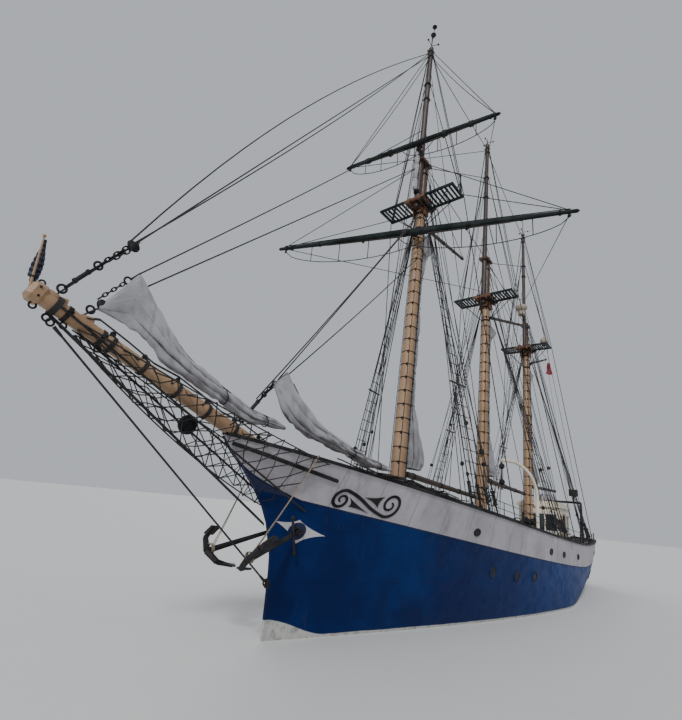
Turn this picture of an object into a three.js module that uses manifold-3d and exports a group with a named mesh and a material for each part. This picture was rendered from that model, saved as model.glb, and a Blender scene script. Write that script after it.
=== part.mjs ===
// A three-masted topsail schooner with a steel hull, afloat, its sails brailed or dropped.
// +X points forward, +Y to port and +Z up. The origin is on the waterline amidships.
// Sizes and places below are in metres. The meshes are in millimetres.
import * as THREE from "three";
import { mergeVertices } from "three/addons/utils/BufferGeometryUtils.js";
import Module from "manifold-3d";

const wasm = await Module();
wasm.setup();

const MM = 1000;
const SEAT = 0.0003; // the gap that is left between two pieces that touch
const UP = new THREE.Vector3(0, 0, 1);
const ship = new THREE.Group();

// Hull: driving sizes
const STEM_HEAD = 15.0;
const STERN = -14.0;
const BULWARK_HEIGHT = 0.95;
const BULWARK_WALL = 0.07;
const CAPRAIL = { width: 0.2, height: 0.08, overhang: 0.05 };
const DEEPEST = -2.6;
const LOWEST_RAIL = { x: -5, z: 2.45 };

// Fore end, aft end and greatest half-breadth of the hull by height; entrance is how full the bow is there,
// and quarter how much breadth is left at the stern.
const HULL_LEVELS = [
  // z, fore, aft, half, entrance, quarter
  [-2.6, 10.4, -11.3, 0.14, 1.1, 0.0],
  [-2.3, 11.3, -11.3, 0.85, 1.15, 0.0],
  [-1.8, 12.2, -11.35, 1.75, 1.25, 0.0],
  [-1.1, 12.75, -11.4, 2.6, 1.35, 0.0],
  [-0.4, 12.95, -11.6, 3.0, 1.45, 0.0],
  [0.0, 13.0, -12.3, 3.12, 1.55, 0.05],
  [0.85, 13.03, -13.3, 3.2, 1.85, 0.35],
  [2.05, 13.14, -13.85, 3.24, 2.3, 0.52],
  [2.95, 13.58, -13.95, 3.25, 2.7, 0.55],
  [3.65, 14.24, -14.0, 3.25, 2.9, 0.55],
  [4.4, 15.0, -14.0, 3.25, 3.0, 0.55],
];
const ENTRANCE_LENGTH = 15;
const RUN_LENGTH = 11.5;
const STERN_ROUND = 1.3;
const STEM_HALF = 0.04;
// Places of the frames along each level, as shares of its length from the stem
const FRAME_SHARES = [
  0, 0.012, 0.035, 0.07, 0.12, 0.19, 0.28, 0.38, 0.5, 0.62, 0.74, 0.84, 0.91, 0.955, 0.98, 0.993, 1,
];

// Masts: x at a height of 3 m, rake as aft lean over height, heights up the mast, radii
const MASTS = {
  fore: { x: 7.715, rake: 0.062, crosstree: 15.93, half: 1.78, masthead: 18.41, truck: 25.62,
          foot: 0.26, head: 0.17, top: 0.15, pole: 26.9 },
  main: { x: 0.471, rake: 0.065, crosstree: 14.52, half: 1.59, masthead: 17.2, truck: 25.36,
          foot: 0.26, head: 0.17, top: 0.14, pole: 25.9 },
  mizzen: { x: -6.23, rake: 0.057, crosstree: 13.89, half: 1.42, masthead: 15.72, truck: 22.58,
            foot: 0.23, head: 0.15, top: 0.12, pole: 23.9 },
};
const MAST_SIDES = 12;
const PIN_SIDES = 8;
const DOUBLING_DROP = 0.35; // how far the topmast's heel reaches below the crosstree
const DOUBLING_GAP = 0.05; // between the lower masthead and the topmast ahead of it
const CROSSTREE = { fore: 0.62, aft: 0.42, thick: 0.09, frame: 0.09, slats: 7, slat: 0.07 };

// Shrouds: where their feet stand on the caprail, and the backstay's foot, as distances aft of the mast
const SHROUDS = {
  fore: { feet: [0.35, 0.85, 1.35, 1.85], backstay: 3.1 },
  main: { feet: [0.35, 0.85, 1.35, 1.85], backstay: 3.1 },
  mizzen: { feet: [0.35, 0.95, 1.55], backstay: 2.6 },
};
const ROPE = 0.018;
const ROPE_SIDES = 5;
const HOUND_DROP = 0.45; // the shrouds' seizing below the crosstree
const SHROUD_BAR = { width: 0.09, height: 0.07 };

// Yards on the fore mast: height, half-length, radii, angle braced with the port arm aft, distance ahead
const YARDS = {
  lower_yard: { z: 14.14, half: 6.11, mid: 0.15, end: 0.075, braced: 0.361, tilt: 0.027, ahead: 0.6 },
  upper_yard: { z: 18.78, half: 3.56, mid: 0.13, end: 0.07, braced: 0.156, tilt: 0.027, ahead: 0.52 },
};

// Booms and gaffs: mast, height at the mast, height at the outer end, length, radius, swing to starboard
const SWINGING_SPARS = {
  fore_boom: { mast: "fore", z: 4.42, endZ: 4.1, length: 6.1, radius: 0.11, swing: 0 },
  main_boom: { mast: "main", z: 4.98, endZ: 4.78, length: 5.6, radius: 0.11, swing: 0 },
  mizzen_boom: { mast: "mizzen", z: 5.3, endZ: 5.45, length: 5.2, radius: 0.1, swing: 0 },
  fore_gaff: { mast: "fore", z: 15.02, endZ: 16.0, length: 4.8, radius: 0.085, swing: 0.075 },
  main_gaff: { mast: "main", z: 13.6, endZ: 14.67, length: 4.75, radius: 0.085, swing: -0.15 },
  mizzen_gaff: { mast: "mizzen", z: 12.95, endZ: 14.4, length: 3.9, radius: 0.075, swing: -0.04 },
};

// Bowsprit
const BOWSPRIT = { heel: [11.95, 3.585], root: [14.92, 4.58], tip: [19.25, 6.025], heelR: 0.18, tipR: 0.145 };
const BOWSPRIT_CAP = { length: 0.3, width: 0.33, height: 0.36 };

// Deck pieces: fore end, aft end, half-breadth, height of the top above the waterline
const FORE_HOUSE = { fore: 5.9, aft: 3.2, half: 1.15, top: 3.3 };
const AFT_HOUSE = { fore: -1.5, aft: -4.9, half: 1.1, top: 2.75 };
const HATCH = { fore: 2.5, aft: 1.55, half: 0.5, top: 2.35, wall: 0.06, lid: 0.06 };
const WHEELHOUSE = { fore: -8.1, aft: -10.3, half: 1.15, top: 4.25, wall: 0.06, roof: 0.35, eave: 0.12 };
const DOOR = { fore: -8.75, width: 0.7, sill: 0.18, top: 3.95, gap: 0.008, pin: 0.02, hinges: [0.35, 1.75] };
const ENGINE = { x: -3.3, z: -1.0, length: 2.0, width: 0.95, height: 1.35, room: 0.35 };
const WINDLASS = { x: 10.3, height: 0.62, barrel: 0.2, half: 0.95, cheek: 0.16 };
const SHIPS_WHEEL = { x: -8.75, z: 2.75, radius: 0.42, shaft: 0.025 };
const DAVIT = { foot: [1.3, 2.72], head: [2.8, 1.85, 5.52], radius: 0.065, socket: 0.5 };
const GANTRY = { x: -12.6, half: 1.35, top: 4.85, tube: 0.07, box: [-12.6, 0.95, 5.25] };

const GOOSENECK_PIN = 0.04;
const TRUSS_PIN = 0.05;
const GOOSENECK_HALF = 0.12; // half the gap between a pair of lugs
const LUG = 0.03;
const PIN_PLAY = 0.002;
// Stays ahead of the fore mast: x of the foot on the bowsprit, height of the head, if it is on the topmast
const HEADSTAYS = {
  forestay: { foot: 14.75, head: 15.5, top: false },
  jib_stay: { foot: 18.62, head: 17.9, top: true },
  outer_stay: { foot: 19.1, head: 25.2, top: true },
};
const BOBSTAY = { band: 18.95, foot: [13.3, 2.45], guy: [12.6, 2.9] };
const FLAGSTAFF = { foot: [19.42, 0, 6.1], top: [19.36, 0, 7.02] };
const WINDOW_BAND = [2.95, 3.85];
const FRONT_WINDOWS = [[-1.0, -0.38], [-0.31, 0.31], [0.38, 1.0]];
const SIDE_WINDOWS = [[-8.66, -8.25], [-10.15, -9.6]];
const ANCHOR = {
  ring: [12.56, 0.36, 2.41],
  crown: [14.4, 0.72, 1.84],
  spread: [0, 0.75, 0.66],
  arm: 0.62,
};

// Sails. A dropped jib is a bundle of centres x, y, z with its half-breadth and half-height.
const DROPPED_JIBS = {
  outer_jib: [
    [18.32, 0, 6.5, 0.06, 0.08],
    [18.1, 0, 6.62, 0.12, 0.24],
    [17.8, 0, 6.62, 0.17, 0.46],
    [17.45, 0, 6.46, 0.2, 0.46],
    [17.0, 0, 6.14, 0.24, 0.33],
    [16.2, 0, 5.75, 0.26, 0.27],
    [15.2, 0, 5.36, 0.26, 0.27],
    [14.1, 0, 4.98, 0.2, 0.2],
    [13.3, 0, 4.86, 0.08, 0.08],
  ],
  inner_jib: [
    [13.75, 0, 6.02, 0.06, 0.08],
    [13.5, 0, 5.93, 0.14, 0.33],
    [13.25, 0, 5.85, 0.2, 0.48],
    [12.8, 0, 5.6, 0.26, 0.46],
    [12.2, 0, 5.3, 0.3, 0.4],
    [11.6, 0, 5.1, 0.3, 0.33],
    [10.6, 0, 4.85, 0.28, 0.25],
    [9.4, 0, 4.6, 0.24, 0.18],
    [8.0, 0, 4.43, 0.08, 0.08],
  ],
};
// Brailed sails: share of the way down, distance aft of the mast, half-breadth, half-length fore and aft
const BRAILED = [
  [0, 0.3, 0.08, 0.08],
  [0.08, 0.42, 0.13, 0.17],
  [0.35, 0.5, 0.16, 0.2],
  [0.62, 0.62, 0.19, 0.24],
  [0.85, 0.9, 0.26, 0.4],
  [0.96, 1.0, 0.22, 0.38],
  [1, 0.95, 0.1, 0.16],
];

// Underwater gear
const RUDDER = {
  stock: -12.2, radius: 0.075, clear: 0.006, head: 0.7,
  fore: -12.06, aft: -13.05, top: -0.45, foot: -2.36, thick: 0.09,
};
const PROPELLER = { x: -11.72, z: -1.55, radius: 0.62, hub: 0.12, blades: 4 };
const SOLE_PIECE = { fore: -10.9, aft: -12.95, top: -2.42, bottom: -2.6, half: 0.1 };

const v = (x, y, z) => new THREE.Vector3(x, y, z);

// Makes a closed manifold solid from a three.js geometry in metres.
function solid(geometry) {
  geometry.deleteAttribute("normal");
  geometry.deleteAttribute("uv");
  const merged = mergeVertices(geometry, 1e-6);
  return new wasm.Manifold(
    new wasm.Mesh({
      numProp: 3,
      vertProperties: new Float32Array(merged.attributes.position.array),
      triVerts: new Uint32Array(merged.index.array),
    }),
  );
}

// The same solid on the other side of the ship.
function otherSide(made) {
  const { numProp, vertProperties, triVerts } = made.getMesh();
  return new wasm.Manifold(
    new wasm.Mesh({
      numProp,
      vertProperties: vertProperties.map((value, i) => (i % numProp === 1 ? -value : value)),
      triVerts: triVerts.slice().reverse(),
    }),
  );
}

const join = (pieces) => pieces.reduce((sum, piece) => sum.add(piece));
const cut = (piece, ...tools) => tools.reduce((left, tool) => left.subtract(tool), piece);

// Adds a named mesh to a group.
function addMesh(name, made, material) {
  const { numProp, vertProperties, triVerts } = made.getMesh();
  const points = new Float32Array((vertProperties.length / numProp) * 3);
  for (let i = 0; i < points.length / 3; i++)
    for (let axis = 0; axis < 3; axis++) points[3 * i + axis] = vertProperties[numProp * i + axis] * MM;
  const geometry = new THREE.BufferGeometry()
    .setAttribute("position", new THREE.BufferAttribute(points, 3))
    .setIndex(new THREE.BufferAttribute(new Uint32Array(triVerts), 1));
  geometry.computeVertexNormals();
  const mesh = new THREE.Mesh(geometry, new THREE.MeshStandardMaterial(material));
  mesh.name = name;
  ship.add(mesh);
}

// A box from its lowest to its highest corner.
function block(low, high) {
  const geometry = new THREE.BoxGeometry(high[0] - low[0], high[1] - low[1], high[2] - low[2]);
  geometry.translate((high[0] + low[0]) / 2, (high[1] + low[1]) / 2, (high[2] + low[2]) / 2);
  return solid(geometry);
}

// A round spar between two points, tapered from one radius to the other.
function spar(from, to, fromRadius, toRadius = fromRadius, sides = ROPE_SIDES) {
  const way = to.clone().sub(from);
  const geometry = new THREE.CylinderGeometry(toRadius, fromRadius, way.length(), sides);
  geometry.rotateX(Math.PI / 2);
  geometry.applyQuaternion(new THREE.Quaternion().setFromUnitVectors(UP, way.clone().normalize()));
  geometry.translate(...from.clone().lerp(to, 0.5).toArray());
  return solid(geometry);
}

// A piece turned about an axis through a point, from its profile: distance along the axis, radius.
function turned(centre, axis, profile, sides) {
  const outline = profile.map(([distance, radius]) => new THREE.Vector2(radius, distance));
  const geometry = new THREE.LatheGeometry(outline, sides);
  geometry.rotateX(Math.PI / 2);
  geometry.applyQuaternion(new THREE.Quaternion().setFromUnitVectors(UP, axis));
  geometry.translate(...centre.toArray());
  return solid(geometry);
}

// A square timber between two points, its width level.
function timber(from, to, width, height) {
  const way = to.clone().sub(from);
  const geometry = new THREE.BoxGeometry(way.length(), width, height);
  const axis = way.clone().normalize();
  const side = UP.clone().cross(axis).normalize();
  geometry.applyMatrix4(new THREE.Matrix4().makeBasis(axis, side, axis.clone().cross(side)));
  geometry.translate(...from.clone().lerp(to, 0.5).toArray());
  return solid(geometry);
}

// Ropes that run through a list of points.
const ropes = (points, radius = ROPE) => points.slice(1).map((p, i) => spar(points[i], p, radius));

// A closed skin over rings of equal point count, each end closed across its ring.
// The rings may run either way round.
function loft(rings) {
  const made = skin(rings);
  return made.volume() > 0 ? made : skin(rings.map((ring) => ring.slice().reverse()));
}

function skin(rings) {
  const count = rings[0].length;
  const positions = rings.flat().flatMap((p) => p.toArray());
  const index = [];
  for (let r = 0; r + 1 < rings.length; r++)
    for (let i = 0; i < count; i++) {
      const a = r * count + i;
      const b = r * count + ((i + 1) % count);
      index.push(a, b, a + count, b, b + count, a + count);
    }
  const last = (rings.length - 1) * count;
  for (let i = 0; i + 1 < count / 2; i++) {
    const [a, b, c, d] = [i, i + 1, count - 2 - i, count - 1 - i];
    index.push(a, c, b, a, d, c);
    index.push(last + a, last + b, last + c, last + a, last + c, last + d);
  }
  const geometry = new THREE.BufferGeometry();
  geometry.setAttribute("position", new THREE.Float32BufferAttribute(positions, 3));
  geometry.setIndex(index);
  return solid(geometry);
}

// A smooth value read from one column of a table by its first column.
function column(table, index) {
  const xs = table.map((row) => row[0]);
  const interpolant = new THREE.CubicInterpolant(xs, table.map((row) => row[index]), 1);
  return (x) => interpolant.evaluate(Math.min(Math.max(x, xs[0]), xs[xs.length - 1]))[0];
}

const foreEnd = column(HULL_LEVELS, 1);
const aftEnd = column(HULL_LEVELS, 2);
const widest = column(HULL_LEVELS, 3);
const entrance = column(HULL_LEVELS, 4);
const quarter = column(HULL_LEVELS, 5);

const railHeight = (x) =>
  LOWEST_RAIL.z +
  0.0294 * Math.max(0, x - LOWEST_RAIL.x) ** 1.4 +
  0.0025 * Math.max(0, LOWEST_RAIL.x - x) ** 2;
const deckHeight = (x) => railHeight(x) - BULWARK_HEIGHT;

// Half-breadth of the outer skin.
function halfBreadth(x, z) {
  const fromStem = Math.min(Math.max((foreEnd(z) - x) / ENTRANCE_LENGTH, 0), 1);
  const fromStern = Math.min(Math.max((x - aftEnd(z)) / RUN_LENGTH, 0), 1);
  const round = 1 - Math.min(fromStern * (RUN_LENGTH / STERN_ROUND), 1);
  const bow = 1 - (1 - fromStem) ** entrance(z);
  const left = quarter(z);
  const stern = left * Math.sqrt(1 - round ** 2) + (1 - left) * (1 - (1 - fromStern) ** 1.7);
  return Math.max(widest(z) * bow * stern, STEM_HALF);
}

// Points along one side of the ship at a height that may change with x, from stem to stern.
function levelLine(heightAt, foreX) {
  let fore = foreX;
  for (let i = 0; i < 6; i++) fore = foreEnd(heightAt(fore));
  const aft = aftEnd(heightAt(STERN));
  return FRAME_SHARES.map((share) => {
    const x = fore + (aft - fore) * share;
    const z = heightAt(x);
    return v(x, halfBreadth(x, z), z);
  });
}

// The same line moved inboard by a distance, and never past the centreline.
function inboard(line, distance) {
  return line.map((p, i) => {
    const before = line[Math.max(i - 1, 0)];
    const after = line[Math.min(i + 1, line.length - 1)];
    const way = after.clone().sub(before).setZ(0).normalize();
    const moved = v(p.x + way.y * distance, p.y + way.x * distance, p.z);
    if (i === 0) moved.setX(p.x - 0.02);
    if (i === line.length - 1) moved.setX(p.x + distance);
    return moved.setY(Math.max(moved.y, SEAT / 2));
  });
}

const mirrored = (p) => v(p.x, -p.y, p.z);

// All that lies between a sheer surface, raised by a lift, and a far height, wider than the ship.
function beyondSheer(heightAt, lift, far) {
  const xs = levelLine(heightAt, STEM_HEAD).map((p) => p.x);
  const ends = [xs[0] + 1, ...xs, xs[xs.length - 1] - 1];
  const wide = 5;
  return loft(
    ends.map((x) => {
      const z = heightAt(x) + lift;
      return [v(x, wide, z), v(x, wide, far), v(x, -wide, far), v(x, -wide, z)];
    }),
  );
}

function hullBody() {
  const heights = [
    (x) => deckHeight(x),
    (x) => deckHeight(x) * 0.62,
    (x) => deckHeight(x) * 0.28,
    () => 0,
    () => -0.5,
    () => -1.1,
    () => -1.75,
    () => -2.25,
    () => DEEPEST,
  ];
  const lines = heights.map((heightAt) => levelLine(heightAt, STEM_HEAD));
  const rings = FRAME_SHARES.map((_, i) => {
    const port = lines.map((line) => line[i]);
    return [...port, ...port.slice().reverse().map(mirrored)];
  });
  return loft(rings);
}

// A strip along the ship's side between two offsets from the skin and two heights.
function sideStrip(lowAt, highAt, outer, inner, side) {
  const low = levelLine(lowAt, STEM_HEAD);
  const high = levelLine(highAt, STEM_HEAD);
  const corners = [inboard(low, outer), inboard(high, outer), inboard(high, inner), inboard(low, inner)];
  const rings = FRAME_SHARES.map((_, i) => corners.map((line) => line[i]));
  return side > 0 ? loft(rings) : loft(rings.map((ring) => ring.map(mirrored)));
}

const mastX = (mast, z) => MASTS[mast].x - MASTS[mast].rake * (z - 3);
const mastPoint = (mast, z) => v(mastX(mast, z), 0, z);
const mastAxis = (mast) => v(-MASTS[mast].rake, 0, 1).normalize();

function mastRadius(mast, z) {
  const m = MASTS[mast];
  return m.foot + ((m.head - m.foot) * (z - 3)) / (m.masthead - 3);
}

function lowerMast(mast, grow = 0) {
  const m = MASTS[mast];
  const foot = 1.2;
  return spar(mastPoint(mast, foot), mastPoint(mast, m.masthead), mastRadius(mast, foot) + grow,
    m.head + grow, MAST_SIDES);
}

// How far the topmast stands ahead of the lower mast.
const topmastAhead = (mast) => MASTS[mast].head + MASTS[mast].top + DOUBLING_GAP;
const topmastPoint = (mast, z) => mastPoint(mast, z).add(v(topmastAhead(mast), 0, 0));

function topmast(mast, grow = 0) {
  const m = MASTS[mast];
  const heel = topmastPoint(mast, m.crosstree - DOUBLING_DROP);
  const truck = topmastPoint(mast, m.truck);
  const pole = topmastPoint(mast, m.pole);
  const ball = new THREE.SphereGeometry(0.13 + grow, 8, 6);
  ball.translate(...truck.toArray());
  return join([
    spar(heel, truck, m.top + grow, 0.75 * m.top + grow, 12),
    solid(ball),
    spar(truck, pole, 0.035 + grow, 0.025 + grow),
  ]);
}

// Cap that holds the topmast against the lower masthead.
function mastCap(mast) {
  const m = MASTS[mast];
  const z = m.masthead - 0.25;
  const aft = mastX(mast, z) - m.head - 0.07;
  const fore = mastX(mast, z) + topmastAhead(mast) + m.top + 0.07;
  const half = m.head + 0.07;
  return cut(
    block([aft, -half, z - 0.06], [fore, half, z + 0.06]),
    topmast(mast, SEAT),
  );
}

// Slatted platform across the doubling, on two trestles.
function crosstree(mast) {
  const m = MASTS[mast];
  const { fore, aft, thick, frame, slats, slat } = CROSSTREE;
  const x = mastX(mast, m.crosstree);
  const [front, back] = [x + fore, x - aft];
  const top = m.crosstree + thick / 2;
  const low = m.crosstree - thick / 2;
  const inner = m.head + 0.1;
  const pieces = [
    block([front - frame, -m.half, low], [front, m.half, top]),
    block([back, -m.half, low], [back + frame, m.half, top]),
    block([back, -m.half, low], [front, -m.half + frame, top]),
    block([back, m.half - frame, low], [front, m.half, top]),
  ];
  for (const side of [-1, 1]) {
    const [a, b] = [side * inner, side * (inner + frame)].sort((p, q) => p - q);
    pieces.push(block([back, a, low - 0.16], [front, b, top]));
    for (let i = 0; i < slats; i++) {
      const y = side * (inner + frame + ((i + 0.7) * (m.half - 2 * frame - inner)) / (slats + 0.4));
      const [from, to] = [back + frame - 0.01, front - frame + 0.01];
      pieces.push(block([from, y - slat / 2, low + 0.02], [to, y + slat / 2, top - 0.02]));
    }
  }
  pieces.push(block([x - m.head - 0.12, -inner - 0.01, low - 0.16], [x - m.head - 0.02, inner + 0.01, top]));
  pieces.push(block([x + 0.1, -inner - 0.01, low - 0.16], [x + 0.16, inner + 0.01, top]));
  return cut(join(pieces), lowerMast(mast, SEAT), topmast(mast, SEAT));
}

// Shrouds, backstay and the bar on the caprail that spreads their feet, on one side.
function shrouds(mast, side, caprail) {
  const m = MASTS[mast];
  const base = mastX(mast, railHeight(m.x));
  const foot = (back) => {
    const x = base - back;
    const z = railHeight(x) + CAPRAIL.height;
    return v(x, side * (halfBreadth(x, railHeight(x)) - 0.06), z);
  };
  const { feet, backstay } = SHROUDS[mast];
  const hound = m.crosstree - HOUND_DROP;
  const radius = mastRadius(mast, hound);
  const seizing = mastPoint(mast, hound).add(v(0, side * (radius + 0.03), 0));
  const { x, y } = seizing;
  const collar = block([x - 0.09, y - 0.05, hound - 0.12], [x + 0.06, y + 0.05, hound + 0.1]);
  const eye = cut(collar, lowerMast(mast, SEAT));
  const tip = v(mastX(mast, m.crosstree) - CROSSTREE.aft + 0.06, side * (m.half + ROPE + 0.012), m.crosstree);
  const head = topmastPoint(mast, m.truck - 0.35);
  const headRadius = 0.76 * m.top;
  const eyeFoot = head.clone().add(v(0, side * (headRadius - 0.03), -0.12));
  const eyeHead = head.clone().add(v(0, side * (headRadius + 0.02), 0.1));
  const topEye = cut(spar(eyeFoot, eyeHead, 0.05), topmast(mast, SEAT));
  const last = Math.max(...feet);
  const barFrom = foot(feet[0] - 0.2);
  const barTo = foot(backstay + 0.15);
  const pieces = [eye, topEye];
  for (const back of feet) pieces.push(...ropes([seizing, foot(back).add(v(0, 0, 0.02))]));
  const topFoot = foot(backstay).add(v(0, 0, 0.02));
  pieces.push(...ropes([head.clone().add(v(0, side * (headRadius + 0.01), 0)), tip, topFoot]));
  const middle = foot((last + backstay) / 2);
  const lap = v(0.01, 0, 0);
  for (const [from, to] of [[barFrom, middle], [middle, barTo]])
    pieces.push(timber(from.clone().add(lap), to.clone().sub(lap), SHROUD_BAR.width, SHROUD_BAR.height));
  return cut(join(pieces), caprail.translate([0, 0, SEAT]), lowerMast(mast, SEAT), topmast(mast, SEAT));
}

const yardMast = (name, z) => (name === "lower_yard" ? mastPoint("fore", z) : topmastPoint("fore", z));
const yardMastRadius = (name, z) => (name === "lower_yard" ? mastRadius("fore", z) : MASTS.fore.top);
const yardPivot = (name) => {
  const { z } = YARDS[name];
  return yardMast(name, z).add(v(yardMastRadius(name, z) + 0.13, 0, 0));
};
const yardOffset = (name) => YARDS[name].ahead - yardMastRadius(name, YARDS[name].z) - 0.13;

// A round piece on an axis, to both sides of its centre.
function along(axis, centre, half, radius, sides = PIN_SIDES) {
  const reach = axis.clone().multiplyScalar(half);
  return spar(centre.clone().sub(reach), centre.clone().add(reach), radius, radius, sides);
}

// Two lugs that hold an upright pin beside a mast, one above and one below it, joined to the mast by a hoop.
function lugs(mast, centre, pinRadius, gapHalf) {
  const axis = mastAxis(mast);
  const radius = pinRadius + 0.045;
  const pieces = [];
  for (const side of [-1, 1]) {
    const middle = centre.clone().addScaledVector(axis, side * (gapHalf + LUG / 2));
    const level = mastPoint(mast, middle.z);
    const root = level.clone().addScaledVector(axis, middle.clone().sub(level).dot(axis));
    pieces.push(along(axis, middle, LUG / 2, radius), timber(root, middle, 2 * radius, LUG));
  }
  const bore = (pinRadius + PIN_PLAY) / Math.cos(Math.PI / PIN_SIDES);
  return cut(join(pieces), along(axis, centre, 1, bore));
}

// Upright pin through a pair of lugs, with a boss that fills the gap between them.
function pin(mast, centre, radius, gapHalf) {
  const axis = mastAxis(mast);
  const boss = along(axis, centre, gapHalf - SEAT, radius + 0.03);
  return join([along(axis, centre, gapHalf + LUG, radius), boss]);
}

// Booms and gaffs pivot on a pin just aft of the mast.
const sparPivot = (name) => {
  const s = SWINGING_SPARS[name];
  return mastPoint(s.mast, s.z).add(v(-(mastRadius(s.mast, s.z) + 0.16), 0, 0));
};

function swingingSpar(name) {
  const s = SWINGING_SPARS[name];
  const pivot = sparPivot(name);
  const rise = s.endZ - s.z;
  const run = Math.sqrt(s.length ** 2 - rise ** 2);
  const end = pivot.clone().add(v(-run * Math.cos(s.swing), -run * Math.sin(s.swing), rise));
  const inner = pivot.clone().lerp(end, 0.2 / s.length);
  return join([
    spar(inner, end, s.radius, 0.78 * s.radius, 10),
    spar(pivot, pivot.clone().lerp(inner, 1.2), 0.05, 0.05, 8),
    pin(s.mast, pivot, GOOSENECK_PIN, GOOSENECK_HALF),
  ]);
}

// A yard on the arm of its truss, which turns on a pin ahead of the mast.
function yard(name) {
  const y = YARDS[name];
  const pivot = yardPivot(name);
  const arm = v(-Math.sin(y.braced), Math.cos(y.braced), y.tilt).normalize();
  const ahead = v(Math.cos(y.braced), Math.sin(y.braced), 0);
  const mid = pivot.clone().addScaledVector(ahead, yardOffset(name));
  const pieces = [
    spar(pivot, mid, 0.05, 0.05, 8),
    pin("fore", pivot, TRUSS_PIN, GOOSENECK_HALF),
  ];
  const shoulder = 0.35 * y.half;
  const profile = [
    [-y.half, 0],
    [-y.half, y.end],
    [-shoulder, 0.92 * y.mid],
    [0, y.mid],
    [shoulder, 0.92 * y.mid],
    [y.half, y.end],
    [y.half, 0],
  ];
  pieces.push(turned(mid, arm, profile, 10));
  return join(pieces);
}

// The upper yard's lugs stand on the topmast, clear of the lower masthead behind it.
function topmastLugs() {
  const centre = yardPivot("upper_yard");
  const behind = topmastPoint("fore", centre.z).x;
  const aftOfMast = block([behind - 2, -1, centre.z - 1], [behind, 1, centre.z + 1]);
  return cut(lugs("fore", centre, TRUSS_PIN, GOOSENECK_HALF), aftOfMast);
}

// A closed soft bundle round a line of centres: [x, y, z, half-breadth across, half-height].
function bundle(centres, upright = false) {
  const sides = 8;
  const rings = centres.map(([x, y, z, across, high]) => {
    const ring = [];
    for (let i = 0; i < sides; i++) {
      const angle = ((i + 0.5) / sides) * 2 * Math.PI;
      const [a, b] = [Math.sin(angle) * across, -Math.cos(angle) * high];
      ring.push(upright ? v(x + b, y + a, z) : v(x, y + a, z + b));
    }
    return ring;
  });
  return loft(rings);
}

// Brailed gaff sail: a bundle close aft of its mast, hanging from the gaff's throat to the boom.
function brailedSail(mast, top, bottom) {
  const centres = BRAILED.map(([share, aft, across, long]) => {
    const z = top + (bottom - top) * share;
    return [mastX(mast, z) - mastRadius(mast, z) - aft, 0, z, across, long];
  });
  const luff = loft(
    centres.map(([x, , z]) => {
      const mastFace = mastX(mast, z) - mastRadius(mast, z) + 0.03;
      return [v(mastFace, 0.02, z), v(x, 0.02, z), v(x, -0.02, z), v(mastFace, -0.02, z)];
    }),
  );
  return cut(join([bundle(centres, true), luff]), lowerMast(mast, SEAT));
}

function bowsprit(grow = 0) {
  const { heel, tip, heelR, tipR } = BOWSPRIT;
  const past = bowspritAxis().multiplyScalar(grow);
  const [from, to] = [v(heel[0], 0, heel[1]).sub(past), v(tip[0], 0, tip[1]).add(past)];
  return spar(from, to, heelR + grow, tipR + grow, 14);
}
const bowspritAxis = () =>
  v(BOWSPRIT.tip[0] - BOWSPRIT.heel[0], 0, BOWSPRIT.tip[1] - BOWSPRIT.heel[1]).normalize();
// A point on the bowsprit's axis at x
const bowspritPoint = (x) => {
  const { heel, tip } = BOWSPRIT;
  return v(x, 0, heel[1] + ((tip[1] - heel[1]) * (x - heel[0])) / (tip[0] - heel[0]));
};

// Band round the bowsprit's end with the bobstay and the two guys that run back to the bow.
function bowspritStays(hull) {
  const axis = bowspritAxis();
  const band = bowspritPoint(BOBSTAY.band);
  const ring = cut(along(axis, band, 0.05, 0.19, 16), bowsprit(SEAT));
  const below = v(axis.z, 0, -axis.x).multiplyScalar(0.177);
  const pieces = [ring, ...ropes([band.clone().add(below), v(BOBSTAY.foot[0], 0, BOBSTAY.foot[1])], 0.03)];
  for (const side of [-1, 1]) {
    const [x, z] = BOBSTAY.guy;
    const foot = v(x, side * (halfBreadth(x, z) + 0.01), z);
    pieces.push(...ropes([band.clone().add(v(0, side * 0.17, 0)), foot], 0.025));
  }
  return clearOf(cut(join(pieces), bowsprit(SEAT)), hull);
}

function bowspritCap() {
  const { length, width, height } = BOWSPRIT_CAP;
  const axis = bowspritAxis();
  const heel = v(BOWSPRIT.tip[0], 0, BOWSPRIT.tip[1]).addScaledVector(axis, -0.12);
  const box = timber(heel, heel.clone().addScaledVector(axis, length), width, height);
  const staff = spar(v(...FLAGSTAFF.foot), v(...FLAGSTAFF.top), 0.03, 0.02, 8);
  return cut(join([box, staff]), bowsprit(SEAT));
}

// Trims a piece outside the bow where it meets the skin.
const clearOf = (piece, hull) =>
  cut(piece, hull, ...[1, -1].map((side) => hull.translate([SEAT, side * SEAT, 0])));

// Trims a deck piece where it meets the deck, which lies SEAT below it.
const onDeck = (piece, hull) => cut(piece, hull.translate([0, 0, SEAT]));

function deckHouse({ fore, aft, half, top }, hull) {
  const low = Math.min(deckHeight(fore), deckHeight(aft)) - 0.2;
  const coach = 0.08;
  return onDeck(
    join([
      block([aft, -half, low], [fore, half, top - coach]),
      block([aft - coach, -half - coach, top - coach], [fore + coach, half + coach, top]),
    ]),
    hull,
  );
}

function hatchCoaming(hull) {
  const { fore, aft, half, top, wall } = HATCH;
  const box = block([aft, -half, 1], [fore, half, top]);
  const well = block([aft + wall, -half + wall, deckHeight(aft) + 0.02], [fore - wall, half - wall, top + 1]);
  const seat = block([fore - 0.001, -0.3, top - 0.08], [fore + 0.05, 0.3, top + 0.01]);
  const barrel = along(v(0, 1, 0), v(fore + 0.03, 0, top + 0.02), 0.3, 0.02);
  return onDeck(join([cut(box, well), seat, barrel]), hull);
}

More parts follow.
